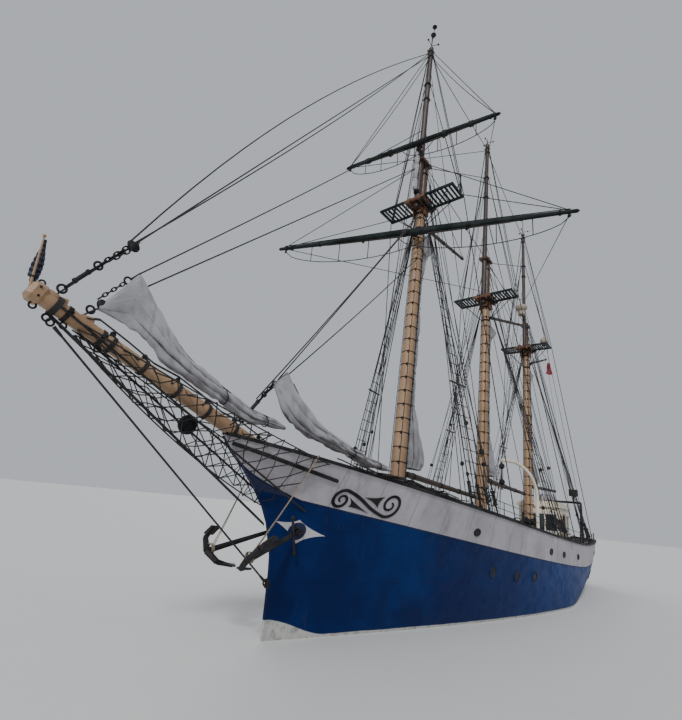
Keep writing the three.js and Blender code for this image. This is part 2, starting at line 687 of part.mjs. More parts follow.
function hatchLid() {
  const { fore, aft, half, top, lid } = HATCH;
  const gap = 0.006;
  const leaf = block([aft - 0.03, -half - 0.03, top + gap], [fore - 0.005, half + 0.03, top + gap + lid]);
  const straps = [-1, 1].flatMap((side) => {
    const [inner, outer] = [side * (0.3 + SEAT), side * 0.42];
    const [low, high] = [Math.min(inner, outer), Math.max(inner, outer)];
    const knuckle = v(fore + 0.03, (low + high) / 2, top + 0.02);
    return [
      block([fore - 0.02, low, top + gap + 0.005], [fore + 0.05, high, top + gap + lid - 0.01]),
      along(v(0, 1, 0), knuckle, (high - low) / 2, 0.02),
    ];
  });
  return join([leaf, ...straps]);
}

function wheelhouseWalls(hull) {
  const { fore, aft, half, top, wall } = WHEELHOUSE;
  const low = 1.2;
  const shell = cut(
    block([aft, -half, low], [fore, half, top]),
    block([aft + wall, -half + wall, low - 1], [fore - wall, half - wall, top + 1]),
  );
  const tools = [];
  const [sill, head] = WINDOW_BAND;
  for (const [from, to] of FRONT_WINDOWS) {
    tools.push(block([fore - 0.3, from, sill], [fore + 0.3, to, head]));
    tools.push(block([aft - 0.3, from, sill], [aft + 0.3, to, head]));
  }
  for (const [from, to] of SIDE_WINDOWS)
    tools.push(block([from, -half - 0.3, sill], [to, half + 0.3, head]));
  const { gap, width, top: doorTop } = DOOR;
  const [doorAft, doorFore] = [DOOR.fore - width - gap, DOOR.fore + gap];
  tools.push(block([doorAft, half - 0.3, doorSill() - gap], [doorFore, half + 0.3, doorTop + gap]));
  const knuckles = DOOR.hinges.map((up) => hingeKnuckle(up - 0.1, up - SEAT, 0.1));
  return onDeck(join([cut(shell, ...tools), ...knuckles]), hull);
}

const doorSill = () => deckHeight(DOOR.fore) + DOOR.sill;

// A knuckle of the door's hinge, with its leaf running fore or aft along the wall.
function hingeKnuckle(low, high, leaf) {
  const { fore, pin: out } = DOOR;
  const y = WHEELHOUSE.half;
  const edge = fore + Math.sign(leaf) * SEAT;
  const [from, to] = [Math.min(edge, fore + leaf), Math.max(edge, fore + leaf)];
  return join([
    spar(v(fore, y + out, doorSill() + low), v(fore, y + out, doorSill() + high), 0.012, 0.012, 8),
    block([from, y - 0.002, doorSill() + low], [to, y + out + 0.008, doorSill() + high]),
  ]);
}

function wheelhouseDoor() {
  const { half, wall } = WHEELHOUSE;
  const { fore, width, top } = DOOR;
  const [sill, head] = WINDOW_BAND;
  const leaf = cut(
    block([fore - width, half - wall, doorSill()], [fore, half, top]),
    block([fore - width + 0.12, half - 0.3, sill], [fore - 0.12, half + 0.3, Math.min(head, top - 0.1)]),
  );
  const hinges = DOOR.hinges.map((up) => hingeKnuckle(up, up + 0.12, -0.1));
  return join([leaf, ...hinges]);
}

function wheelhouseRoof() {
  const { fore, aft, half, top, roof, eave } = WHEELHOUSE;
  const layers = [
    [0, 0.12, 0],
    [0.12, 0.24, 0.1],
    [0.24, roof, 0.28],
  ];
  return join(
    layers.map(([from, to, inset]) =>
      block(
        [aft - eave + inset, -half - eave + inset, top + SEAT + from],
        [fore + eave - inset, half + eave - inset, top + SEAT + to],
      ),
    ),
  );
}

function shipsWheel() {
  const { x, z, radius } = SHIPS_WHEEL;
  const rim = new THREE.TorusGeometry(radius, 0.03, 5, 16);
  rim.rotateY(Math.PI / 2);
  rim.translate(x, 0, z);
  const pieces = [
    solid(rim),
    spar(v(x - 0.06, 0, z), v(x + 0.12 - SEAT, 0, z), 0.08, 0.06, 8),
    spar(v(x, 0, z), v(x + 0.2, 0, z), SHIPS_WHEEL.shaft, SHIPS_WHEEL.shaft, 8),
  ];
  for (let i = 0; i < 4; i++) {
    const angle = (i / 4) * Math.PI + Math.PI / 8;
    const arm = v(0, Math.cos(angle), Math.sin(angle)).multiplyScalar(radius + 0.16);
    pieces.push(spar(v(x, 0, z).sub(arm), v(x, 0, z).add(arm), 0.02, 0.02, 4));
  }
  return join(pieces);
}

function steeringPedestal(hull) {
  const { x, z, shaft } = SHIPS_WHEEL;
  const bore = (shaft + PIN_PLAY) / Math.cos(Math.PI / 8);
  return onDeck(
    cut(
      block([x + 0.12, -0.17, 1.2], [x + 0.42, 0.17, z + 0.14]),
      spar(v(x, 0, z), v(x + 0.21, 0, z), bore, bore, 8),
    ),
    hull,
  );
}

function windlassFrame(hull) {
  const { x, half, cheek, barrel } = WINDLASS;
  const axisZ = deckHeight(x) + WINDLASS.height;
  const deck = deckHeight(x);
  const pieces = [block([x - 0.32, -half - 0.05, deck - 0.3], [x + 0.32, half + 0.05, deck + 0.12])];
  for (const side of [-1, 1])
    pieces.push(
      block(
        [x - 0.14, side * (half - 0.35) - cheek / 2, deckHeight(x)],
        [x + 0.14, side * (half - 0.35) + cheek / 2, axisZ + barrel * 0.8],
      ),
    );
  return onDeck(cut(join(pieces), along(v(0, 1, 0), v(x, 0, axisZ), 2, 0.053, 12)), hull);
}

function windlassDrum() {
  const { x, half, barrel, cheek } = WINDLASS;
  const axisZ = deckHeight(x) + WINDLASS.height;
  const inner = half - 0.35 - cheek / 2 - 0.012;
  const collar = half - 0.35 - cheek / 2 - SEAT;
  const outer = half - 0.35 + cheek / 2 + 0.012;
  const middle = v(x, 0, axisZ);
  const across = v(0, 1, 0);
  const pieces = [
    along(across, middle, half, 0.05, 12),
    along(across, middle, inner, barrel),
    along(across, middle, collar, 0.09),
  ];
  for (const side of [-1, 1])
    pieces.push(spar(v(x, side * outer, axisZ), v(x, side * half, axisZ), 0.15, 0.2, 12));
  return join(pieces);
}

// Stocked anchor hanging from its hawse, on one side: ring end, crown, and the way its arms spread.
function anchor(side, hull) {
  const sided = ([x, y, z]) => v(x, side * y, z);
  const [ring, crown, spread] = [ANCHOR.ring, ANCHOR.crown, ANCHOR.spread].map(sided);
  const shank = crown.clone().sub(ring).normalize();
  const across = spread.clone().addScaledVector(shank, -spread.dot(shank)).normalize();
  const pieces = [spar(ring, crown, 0.05, 0.075, 6)];
  for (const way of [-1, 1]) {
    const points = [0, 0.5, 1].map((share) => {
      const angle = (share * Math.PI) / 2.6;
      return crown
        .clone()
        .addScaledVector(across, way * ANCHOR.arm * Math.sin(angle))
        .addScaledVector(shank, -ANCHOR.arm * (1 - Math.cos(angle)));
    });
    pieces.push(spar(points[0], points[1], 0.075, 0.065, 6));
    pieces.push(spar(points[1], points[2], 0.065, 0.03, 6));
    const palm = points[1].clone().lerp(points[2], 0.35);
    const tip = points[2].clone().addScaledVector(shank, -0.06);
    pieces.push(timber(palm, tip, 0.26, 0.04));
  }
  return clearOf(join(pieces), hull);
}

function davit() {
  const { foot, head, radius } = DAVIT;
  const base = deckHeight(foot[0]) + DAVIT.socket;
  const curve = new THREE.CatmullRomCurve3([
    v(foot[0], foot[1], base),
    v(foot[0], foot[1], base + 0.7),
    v(foot[0], foot[1], base + 1.4),
    v(foot[0], foot[1], base + 2.1),
    v(foot[0] + 0.3, foot[1] - 0.17, base + 2.75),
    v(foot[0] + 0.85, foot[1] - 0.49, head[2] - 0.02),
    v(...head),
  ]);
  const section = new THREE.Shape();
  section.absarc(0, 0, radius, 0, 2 * Math.PI);
  const tube = new THREE.ExtrudeGeometry(section, {
    extrudePath: curve,
    steps: 14,
    curveSegments: 4,
    bevelEnabled: false,
  });
  const hook = v(head[0] - 0.06, head[1] + 0.03, head[2] - 0.14);
  return join([solid(tube), along(UP, hook, 0.16, 0.035)]);
}

function davitSocket(hull) {
  const [x, y] = DAVIT.foot;
  const deck = deckHeight(x);
  const bore = DAVIT.radius + 0.003;
  return onDeck(
    cut(
      join([
        spar(v(x, y, deck - 0.2), v(x, y, deck + DAVIT.socket + 0.55), 0.11, 0.11, 14),
        block([x - 0.22, y - 0.22, deck - 0.2], [x + 0.22, y + 0.22, deck + 0.06]),
      ]),
      spar(v(x, y, deck + DAVIT.socket - SEAT), v(x, y, deck + 3), bore, bore, 14),
    ),
    hull,
  );
}

// Goalpost frame at the stern with a box on its port leg.
function sternGantry(hull) {
  const { x, half, top, tube } = GANTRY;
  const pieces = [spar(v(x, -half, top), v(x, half, top), tube, tube, 10)];
  for (const side of [-1, 1])
    pieces.push(
      spar(v(x, side * half, 1.3), v(x, side * half, top), tube, tube, 10),
      spar(v(x + 1.1, side * half, 1.3), v(x, side * half, top - 0.1), 0.045, 0.045, 8),
    );
  const [bx, by, bz] = GANTRY.box;
  pieces.push(spar(v(bx, by, top), v(bx, by, bz), 0.05, 0.05, 8));
  pieces.push(block([bx - 0.2, by - 0.24, bz], [bx + 0.2, by + 0.24, bz + 0.42]));
  return onDeck(join(pieces), hull);
}

function rudder() {
  const { stock, radius, fore, aft, top, foot, thick } = RUDDER;
  const outline = new THREE.Shape();
  outline.moveTo(fore, top);
  outline.lineTo(aft + 0.1, top - 0.12);
  outline.quadraticCurveTo(aft, top - 0.3, aft, foot + 0.5);
  outline.lineTo(aft + 0.12, foot);
  outline.lineTo(fore, foot);
  const blade = new THREE.ExtrudeGeometry(outline, { depth: thick, bevelEnabled: false, curveSegments: 5 });
  blade.rotateX(Math.PI / 2);
  blade.translate(0, thick / 2, 0);
  return join([
    solid(blade),
    spar(v(stock, 0, foot), v(stock, 0, RUDDER.head), radius, radius, 12),
    spar(v(stock, 0, SOLE_PIECE.top - 0.08), v(stock, 0, foot), 0.035, 0.035, 12),
    spar(v(stock, 0, SOLE_PIECE.top + SEAT), v(stock, 0, foot + 0.01), 0.065, 0.065, 12),
  ]);
}

function propeller() {
  const { x, z, radius, hub, blades } = PROPELLER;
  const pieces = [
    spar(v(x - 0.16, 0, z), v(x + 0.14, 0, z), 0.07, hub, 14),
    spar(v(x, 0, z), v(x + 0.6, 0, z), 0.045, 0.045, 12),
  ];
  for (let i = 0; i < blades; i++) {
    const outline = new THREE.Shape();
    outline.moveTo(-0.07, 0.04);
    outline.quadraticCurveTo(-0.26, 0.5 * radius, -0.12, 0.9 * radius);
    outline.quadraticCurveTo(0, 1.06 * radius, 0.12, 0.9 * radius);
    outline.quadraticCurveTo(0.26, 0.5 * radius, 0.07, 0.04);
    const blade = new THREE.ExtrudeGeometry(outline, { depth: 0.03, bevelEnabled: false, curveSegments: 5 });
    blade.translate(0, 0, -0.015);
    blade.rotateX(Math.PI / 2);
    blade.rotateZ(Math.PI / 2 - 0.55);
    blade.rotateX(((i + 0.5) / blades) * 2 * Math.PI);
    blade.translate(x, 0, z);
    pieces.push(solid(blade));
  }
  return join(pieces);
}

// The hull with its deck, sole piece, stern tube, rudder trunk and engine room.
function hull() {
  const sole = SOLE_PIECE;
  const shaft = PROPELLER.z;
  const built = join([
    hullBody(),
    block([sole.aft, -sole.half, sole.bottom], [sole.fore, sole.half, sole.top]),
    spar(v(-10.2, 0, shaft), v(PROPELLER.x + 0.14 + SEAT, 0, shaft), 0.16, 0.14, 14),
  ]);
  const { stock, radius, clear } = RUDDER;
  const { x, z, length, width, room } = ENGINE;
  return cut(
    built,
    spar(v(stock, 0, -1), v(stock, 0, RUDDER.head + 0.02), radius + clear, radius + clear, 12),
    spar(v(stock, 0, sole.bottom - 1), v(stock, 0, sole.top + 1), 0.035 + 0.003, 0.035 + 0.003, 12),
    spar(v(PROPELLER.x, 0, shaft), v(PROPELLER.x + 0.62, 0, shaft), 0.045 + 0.003, 0.045 + 0.003, 12),
    block([x - length / 2 - room, -width / 2 - room, z], [x + length / 2 + room, width / 2 + room, 3]),
  );
}

const PAINT = {
  blue: { color: 0x12307c, roughness: 0.45, metalness: 0.0 },
  white: { color: 0xc9c6c8, roughness: 0.55, metalness: 0.0 },
  black: { color: 0x17181b, roughness: 0.6, metalness: 0.0 },
  buff: { color: 0xb98a4c, roughness: 0.55, metalness: 0.0 },
  darkSpar: { color: 0x2b1f1a, roughness: 0.6, metalness: 0.0 },
  greenBlack: { color: 0x122420, roughness: 0.5, metalness: 0.0 },
  rope: { color: 0x1d1c1e, roughness: 0.9, metalness: 0.0 },
  canvas: { color: 0xa9a9ad, roughness: 0.95, metalness: 0.0 },
  teak: { color: 0x7b5230, roughness: 0.6, metalness: 0.0 },
  steel: { color: 0x3a3d40, roughness: 0.5, metalness: 0.6 },
  bronze: { color: 0x8c6a2f, roughness: 0.35, metalness: 0.9 },
  cream: { color: 0xd8d2bf, roughness: 0.5, metalness: 0.0 },
};

const hullSolid = hull();
addMesh("hull", hullSolid, PAINT.blue);

const bury = 0.05;
const bulwark = cut(
  sideStrip((x) => deckHeight(x) - bury, (x) => railHeight(x) + bury, 0, BULWARK_WALL, 1),
  beyondSheer(deckHeight, SEAT, -3),
  beyondSheer(railHeight, 0, 8),
  bowsprit(SEAT),
);
addMesh("port_bulwark", bulwark, PAINT.white);
addMesh("starboard_bulwark", otherSide(bulwark), PAINT.white);

const caprailSides = [1, -1].map((side) =>
  sideStrip(
    (x) => railHeight(x) - bury,
    (x) => railHeight(x) + CAPRAIL.height,
    -CAPRAIL.overhang,
    CAPRAIL.width - CAPRAIL.overhang,
    side,
  ),
);
const railEnd = (x, length, half) =>
  block([x, -half, railHeight(x) - bury], [x + length, half, railHeight(x) + CAPRAIL.height]);
const caprail = cut(
  join([...caprailSides, railEnd(STEM_HEAD - 0.45, 0.42, 0.07), railEnd(STERN - 0.03, 0.16, 0.2)]),
  beyondSheer(railHeight, SEAT, -3),
  bowsprit(SEAT),
);
for (const side of [1, -1]) {
  const other = block([-20, -5, -5], [20, SEAT / 2, 10]);
  const half = side > 0 ? cut(caprail, other) : cut(caprail, other.mirror([0, 1, 0]));
  addMesh(side > 0 ? "port_caprail" : "starboard_caprail", half, PAINT.black);
}

addMesh("bowsprit", bowsprit(), PAINT.buff);
addMesh("bowsprit_cap", bowspritCap(), PAINT.buff);
addMesh("bowsprit_stays", bowspritStays(hullSolid), PAINT.rope);

for (const mast of Object.keys(MASTS)) {
  const pieces = [lowerMast(mast), mastCap(mast)];
  for (const name of Object.keys(SWINGING_SPARS))
    if (SWINGING_SPARS[name].mast === mast)
      pieces.push(lugs(mast, sparPivot(name), GOOSENECK_PIN, GOOSENECK_HALF));
  if (mast === "fore") pieces.push(lugs(mast, yardPivot("lower_yard"), TRUSS_PIN, GOOSENECK_HALF));
  addMesh(`${mast}_lower_mast`, onDeck(join(pieces), hullSolid), PAINT.buff);
  const upper = [topmast(mast)];
  if (mast === "fore") upper.push(topmastLugs());
  addMesh(`${mast}_topmast`, join(upper), PAINT.darkSpar);
  addMesh(`${mast}_crosstree`, crosstree(mast), PAINT.greenBlack);
  for (const side of [1, -1])
    addMesh(`${mast}_shrouds_${side > 0 ? "port" : "starboard"}`, shrouds(mast, side, caprail), PAINT.rope);
}

for (const name of Object.keys(YARDS)) addMesh(name, yard(name), PAINT.greenBlack);
for (const name of Object.keys(SWINGING_SPARS)) addMesh(name, swingingSpar(name), PAINT.darkSpar);

const foreHolders = [lowerMast("fore", SEAT), topmast("fore", SEAT), bowsprit(SEAT), bowspritCap()];
for (const [name, { foot, head, top }] of Object.entries(HEADSTAYS)) {
  const end = top ? topmastPoint("fore", head) : mastPoint("fore", head);
  addMesh(name, cut(join(ropes([bowspritPoint(foot), end])), ...foreHolders), PAINT.rope);
}
for (const [name, centres] of Object.entries(DROPPED_JIBS)) {
  const stays = Object.values(HEADSTAYS).map(({ foot, head, top }) =>
    spar(bowspritPoint(foot), top ? topmastPoint("fore", head) : mastPoint("fore", head), ROPE + 2 * SEAT),
  );
  addMesh(name, cut(bundle(centres), ...stays), PAINT.canvas);
}
addMesh("foresail", brailedSail("fore", 14.6, 4.75), PAINT.canvas);
addMesh("mainsail", brailedSail("main", 13.2, 5.3), PAINT.canvas);
addMesh("mizzen_sail", brailedSail("mizzen", 12.55, 5.6), PAINT.canvas);

addMesh("windlass_frame", windlassFrame(hullSolid), PAINT.steel);
addMesh("windlass_drum", windlassDrum(), PAINT.steel);
addMesh("port_anchor", anchor(1, hullSolid), PAINT.steel);
addMesh("starboard_anchor", anchor(-1, hullSolid), PAINT.steel);
addMesh("fore_deckhouse", deckHouse(FORE_HOUSE, hullSolid), PAINT.cream);
addMesh("aft_deckhouse", deckHouse(AFT_HOUSE, hullSolid), PAINT.cream);
addMesh("hatch_coaming", hatchCoaming(hullSolid), PAINT.teak);
addMesh("hatch_lid", hatchLid(), PAINT.teak);
addMesh("wheelhouse", wheelhouseWalls(hullSolid), PAINT.cream);
addMesh("wheelhouse_roof", wheelhouseRoof(), PAINT.cream);
addMesh("wheelhouse_door", wheelhouseDoor(), PAINT.teak);
addMesh("steering_pedestal", steeringPedestal(hullSolid), PAINT.teak);
addMesh("ships_wheel", shipsWheel(), PAINT.teak);
addMesh("davit_socket", davitSocket(hullSolid), PAINT.cream);
addMesh("davit", davit(), PAINT.cream);
addMesh("stern_gantry", sternGantry(hullSolid), PAINT.steel);
addMesh("rudder", rudder(), PAINT.blue);
addMesh("propeller", propeller(), PAINT.bronze);
addMesh(
  "engine",
  block(
    [ENGINE.x - ENGINE.length / 2, -ENGINE.width / 2, ENGINE.z + SEAT],
    [ENGINE.x + ENGINE.length / 2, ENGINE.width / 2, ENGINE.z + ENGINE.height],
  ),
  PAINT.steel,
);

export default ship;
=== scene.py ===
"""Looks of a three-masted topsail schooner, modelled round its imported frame."""
import math
import random

import bpy
from bpy.props import FloatProperty, FloatVectorProperty, IntProperty, PointerProperty
from mathutils import Matrix, Vector


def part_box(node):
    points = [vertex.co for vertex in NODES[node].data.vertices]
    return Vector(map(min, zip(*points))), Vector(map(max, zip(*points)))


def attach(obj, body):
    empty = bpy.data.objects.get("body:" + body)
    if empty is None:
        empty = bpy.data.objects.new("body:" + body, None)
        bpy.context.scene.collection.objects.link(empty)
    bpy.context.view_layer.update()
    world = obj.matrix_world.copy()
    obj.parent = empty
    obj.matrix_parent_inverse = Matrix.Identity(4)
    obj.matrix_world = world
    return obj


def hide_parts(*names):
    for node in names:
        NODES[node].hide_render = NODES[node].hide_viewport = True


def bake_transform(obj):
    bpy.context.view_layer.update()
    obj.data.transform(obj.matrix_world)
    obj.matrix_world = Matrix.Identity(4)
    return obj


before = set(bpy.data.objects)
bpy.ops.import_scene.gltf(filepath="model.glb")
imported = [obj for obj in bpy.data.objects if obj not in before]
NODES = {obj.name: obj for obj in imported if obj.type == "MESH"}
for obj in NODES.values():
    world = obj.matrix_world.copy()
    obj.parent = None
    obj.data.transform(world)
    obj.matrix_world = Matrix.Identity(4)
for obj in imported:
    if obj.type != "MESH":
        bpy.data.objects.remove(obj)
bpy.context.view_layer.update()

bl_info = {
    "name": "Topsail schooner",
    "version": (1, 0, 0),
    "blender": (4, 5, 0),
    "location": "View3D > Sidebar > Schooner",
    "description": "Dresses the frame of a three-masted topsail schooner",
    "category": "Object",
}

SIDES = (1, -1)
UP = Vector((0, 0, 1))
X_AXIS = Vector((1, 0, 0))
Y_AXIS = Vector((0, 1, 0))

# Camera: place, heading from -X towards -Y, pitch up and roll, and the lens on a 36 mm sensor
CAMERA_PLACE = Vector((21.113, 8.585, 3.098))
CAMERA_YAW = 0.856
CAMERA_PITCH = 0.317
CAMERA_ROLL = 0.102
CAMERA_LENS = 22.235
# Lights: name, turn in degrees, strength, and the width of the sun in degrees
SUNS = (("key_light", (52, 0, 118), 2.2, 10), ("fill_light", (60, 0, -40), 0.5, 40))

# Hull: z, fore end, aft end, half-breadth, entrance, quarter
HULL_LEVELS = (
    (-2.6, 10.4, -11.3, 0.14, 1.1, 0.0),
    (-2.3, 11.3, -11.3, 0.85, 1.15, 0.0),
    (-1.8, 12.2, -11.35, 1.75, 1.25, 0.0),
    (-1.1, 12.75, -11.4, 2.6, 1.35, 0.0),
    (-0.4, 12.95, -11.6, 3.0, 1.45, 0.0),
    (0.0, 13.0, -12.3, 3.12, 1.55, 0.05),
    (0.85, 13.03, -13.3, 3.2, 1.85, 0.35),
    (2.05, 13.14, -13.85, 3.24, 2.3, 0.52),
    (2.95, 13.58, -13.95, 3.25, 2.7, 0.55),
    (3.65, 14.24, -14.0, 3.25, 2.9, 0.55),
    (4.4, 15.0, -14.0, 3.25, 3.0, 0.55),
)
FORE, AFT, HALF, ENTRANCE, QUARTER = range(1, 6)
STEM_HEAD = 15.0
STERN = -14.0
DEEPEST = -2.6
BULWARK_HEIGHT = 0.95
BULWARK_WALL = 0.07
ENTRANCE_LENGTH = 15.0
RUN_LENGTH = 11.5
STERN_ROUND = 1.3
STEM_HALF = 0.04
LOWEST_RAIL_X = -5.0
LOWEST_RAIL_Z = 2.45
SHEER_FORE = 0.0294
SHEER_POWER = 1.4
SHEER_AFT = 0.0025
STERN_FULLNESS = 1.7
FRAMES = 110
STERN_TUBE = ((-10.2, 0, -1.55), (-11.5797, 0, -1.55))
SOLE_PIECE = ((-12.95, -0.1, -2.6), (-10.9, 0.1, -2.42))
# x and z of the openings on each side
FAIRLEADS = ((6.85, 2.75), (1.26, 2.23), (-0.34, 2.11), (-2.64, 1.99), (-9.2, 2.0))
PORTHOLES = ((5.49, 1.57), (3.98, 1.41), (2.66, 1.36), (-7.2, 0.95), (-8.8, 0.95))
CAPRAIL_HEIGHT = 0.08
DECK_COVER = 0.008
# Share of the skin's rows that lie above the water
SHARE_ABOVE = 0.42
# Near the stem the blue rises above the deck's line
BLUE_RISE = dict(x=12.51, z=3.06, slope=0.32, steep=0.013)

# Masts: x at a height of 3 m, aft lean over height, heights and radii up the mast
MASTS = {
    "fore": dict(x=7.715, rake=0.062, crosstree=15.93, half=1.78, masthead=18.41, truck=25.62,
                 foot=0.26, head=0.17, top=0.15),
    "main": dict(x=0.471, rake=0.065, crosstree=14.52, half=1.59, masthead=17.2, truck=25.36,
                 foot=0.26, head=0.17, top=0.14),
    "mizzen": dict(x=-6.23, rake=0.057, crosstree=13.89, half=1.42, masthead=15.72, truck=22.58,
                   foot=0.23, head=0.15, top=0.12),
}
FORE_POLE = 26.9
DOUBLING_GAP = 0.05
# Distances of the shrouds' feet aft of their mast
SHROUD_FEET = dict(fore=(0.35, 0.85, 1.35, 1.85), main=(0.35, 0.85, 1.35, 1.85), mizzen=(0.35, 0.95, 1.55))
HOUND_DROP = 0.45
BOWSPRIT_HEEL = Vector((11.95, 0, 3.585))
BOWSPRIT_TIP = Vector((19.25, 0, 6.025))
# Yards: height, half length, radius in the middle, angles from square and level, distance ahead of the mast
YARDS = {
    "lower_yard": dict(z=14.14, half=6.11, mid=0.15, braced=0.361, tilt=0.027, ahead=0.6),
    "upper_yard": dict(z=18.78, half=3.56, mid=0.13, braced=0.156, tilt=0.027, ahead=0.52),
}
# Booms and gaffs: mast, height at the mast and at the outer end, length, radius, swing to starboard
SPARS = {
    "fore_boom": ("fore", 4.42, 4.1, 6.1, 0.11, 0.0),
    "main_boom": ("main", 4.98, 4.78, 5.6, 0.11, 0.0),
    "mizzen_boom": ("mizzen", 5.3, 5.45, 5.2, 0.1, 0.0),
    "fore_gaff": ("fore", 15.02, 16.0, 4.8, 0.085, 0.075),
    "main_gaff": ("main", 13.6, 14.67, 4.75, 0.085, -0.15),
    "mizzen_gaff": ("mizzen", 12.95, 14.4, 3.9, 0.075, -0.04),
}
# Port anchor: its ring and its crown
ANCHOR_RING = (12.56, 0.36, 2.41)
ANCHOR_CROWN = (14.4, 0.72, 1.84)
DAVIT_HEAD = Vector((2.8, 1.85, 5.4))
# Wheelhouse: its windows' edges, its raft and lamp
WINDOW_SILL = 2.95
WINDOW_HEAD = 3.85
WINDOWS_FORE_AND_AFT = ((-1.0, -0.38), (-0.31, 0.31), (0.38, 1.0))
WINDOWS_ABEAM = ((-8.66, -8.25), (-10.15, -9.6))
RAFT_X = -9.7
LAMP_X = -8.3
# Degrees between two faces below which the corner is shaded soft: on most pieces, and on thin lines
SOFT_ANGLE = 35
ROUND_ANGLE = 89
# Materials by their short names, filled by make_looks
LOOKS = {}
# Attribute of gathered cloth that says how deep in a fold a point lies; the sailcloth paints shade into deep
# folds by it
FOLD_SHADE_DEPTH = "fold"
# Stretch of noise that makes streaks down a side
RUN_DOWN = (1, 1, 0.12)


def vec(x, y, z):
    return Vector((x, y, z))


# Hull form
def table_value(rows, column, at):
    """A smooth value of one column of a table, read by its first column."""
    keys = [row[0] for row in rows]
    at = min(max(at, keys[0]), keys[-1])
    i = max(k for k in range(len(keys) - 1) if keys[k] <= at)
    t0, t1 = keys[i], keys[i + 1]
    before, after = (i - 1 if i else i + 1), (i + 2 if i + 2 < len(keys) else i)
    t_before = keys[before] if i else 2 * t0 - t1
    t_after = keys[after] if i + 2 < len(keys) else 2 * t1 - t0
    w_before = 0.5 * (t1 - t0) / (t0 - t_before)
    w_after = 0.5 * (t1 - t0) / (t_after - t1)
    p = (at - t0) / (t1 - t0)
    q, r = p * p, p * p * p
    return (
        rows[before][column] * (-w_before * r + 2 * w_before * q - w_before * p)
        + rows[i][column] * ((1 + w_before) * r - (1.5 + 2 * w_before) * q + (w_before - 0.5) * p + 1)
        + rows[i + 1][column] * (-(1 + w_after) * r + (1.5 + w_after) * q + 0.5 * p)
        + rows[after][column] * (w_after * r - w_after * q)
    )


def level(column, z):
    return table_value(HULL_LEVELS, column, z)


def rail_height(x):
    ahead, behind = max(0, x - LOWEST_RAIL_X), max(0, LOWEST_RAIL_X - x)
    return LOWEST_RAIL_Z + SHEER_FORE * ahead**SHEER_POWER + SHEER_AFT * behind**2


def deck_height(x):
    return rail_height(x) - BULWARK_HEIGHT


def blue_height(x):
    """Upper edge of the blue paint."""
    ahead = x - BLUE_RISE["x"]
    if ahead < 0.3:
        return deck_height(x)
    return BLUE_RISE["z"] + BLUE_RISE["slope"] * ahead + BLUE_RISE["steep"] * ahead**4


def half_breadth(x, z):
    from_stem = min(max((level(FORE, z) - x) / ENTRANCE_LENGTH, 0), 1)
    from_stern = min(max((x - level(AFT, z)) / RUN_LENGTH, 0), 1)
    curve = 1 - min(from_stern * RUN_LENGTH / STERN_ROUND, 1)
    bow = 1 - (1 - from_stem) ** level(ENTRANCE, z)
    left = level(QUARTER, z)
    stern = left * math.sqrt(1 - curve**2) + (1 - left) * (1 - (1 - from_stern) ** STERN_FULLNESS)
    return max(level(HALF, z) * bow * stern, STEM_HALF)


def inside_point(x, z, side, inboard):
    """A point at a distance from the skin, inboard of it."""
    return vec(x, side * (half_breadth(x, z) - inboard), z)


def rail_point(x, side, inboard, above):
    """A point over the bulwark's top, at a distance inboard of the skin there."""
    return inside_point(x, rail_height(x), side, inboard) + UP * above


def word_for(side):
    return "port" if side > 0 else "starboard"


def level_line(height_at):
    """Points along the port side at a height that changes with x, from stem to stern."""
    fore = STEM_HEAD
    for _ in range(6):
        fore = level(FORE, height_at(fore))
    aft = level(AFT, height_at(STERN))
    line = []
    for i in range(FRAMES + 1):
        x = fore + (aft - fore) * (0.5 - 0.5 * math.cos(math.pi * i / FRAMES))
        line.append(vec(x, half_breadth(x, height_at(x)), height_at(x)))
    return line


def moved_in(line, distance):
    """The same line moved inboard, or outboard where the distance is negative."""
    moved = []
    for i, p in enumerate(line):
        way = line[min(i + 1, len(line) - 1)] - line[max(i - 1, 0)]
        way.z = 0
        way.normalize()
        q = p + vec(-way.y, way.x, 0) * distance
        moved.append(vec(q.x, max(q.y, 0.0), q.z))
    return moved


def on_skin(x, z, side, out):
    """A point on the ship's side, lifted off it along its normal."""
    step = 0.05
    y = half_breadth(x, z)
    normal = vec(-(half_breadth(x + step, z) - y) / step, 1, -(half_breadth(x, z + step) - y) / step)
    p = vec(x, y, z) + normal.normalized() * out
    return vec(p.x, side * p.y, p.z)


def spoke(angle, rise=0.0):
    return vec(math.cos(angle), math.sin(angle), rise)


# Spars
def mast_x(mast, z):
    m = MASTS[mast]
    return m["x"] - m["rake"] * (z - 3)


def mast_point(mast, z, ahead=0.0, side=0.0):
    return vec(mast_x(mast, z) + ahead, side, z)


def mast_radius(mast, z):
    m = MASTS[mast]
    return m["foot"] + (m["head"] - m["foot"]) * (z - 3) / (m["masthead"] - 3)


def topmast_ahead(mast):
    return MASTS[mast]["head"] + MASTS[mast]["top"] + DOUBLING_GAP


def topmast_point(mast, z, side=0.0):
    return mast_point(mast, z, topmast_ahead(mast), side)


def mast_step(mast, height):
    """The way up a raked mast by a height."""
    return vec(-MASTS[mast]["rake"], 0, 1) * height


def bowsprit_radius(x):
    return 0.18 - 0.035 * (x - BOWSPRIT_HEEL.x) / (BOWSPRIT_TIP.x - BOWSPRIT_HEEL.x)


def bowsprit_point(x):
    share = (x - BOWSPRIT_HEEL.x) / (BOWSPRIT_TIP.x - BOWSPRIT_HEEL.x)
    return BOWSPRIT_HEEL.lerp(BOWSPRIT_TIP, share)


BOWSPRIT_AXIS = (BOWSPRIT_TIP - BOWSPRIT_HEEL).normalized()


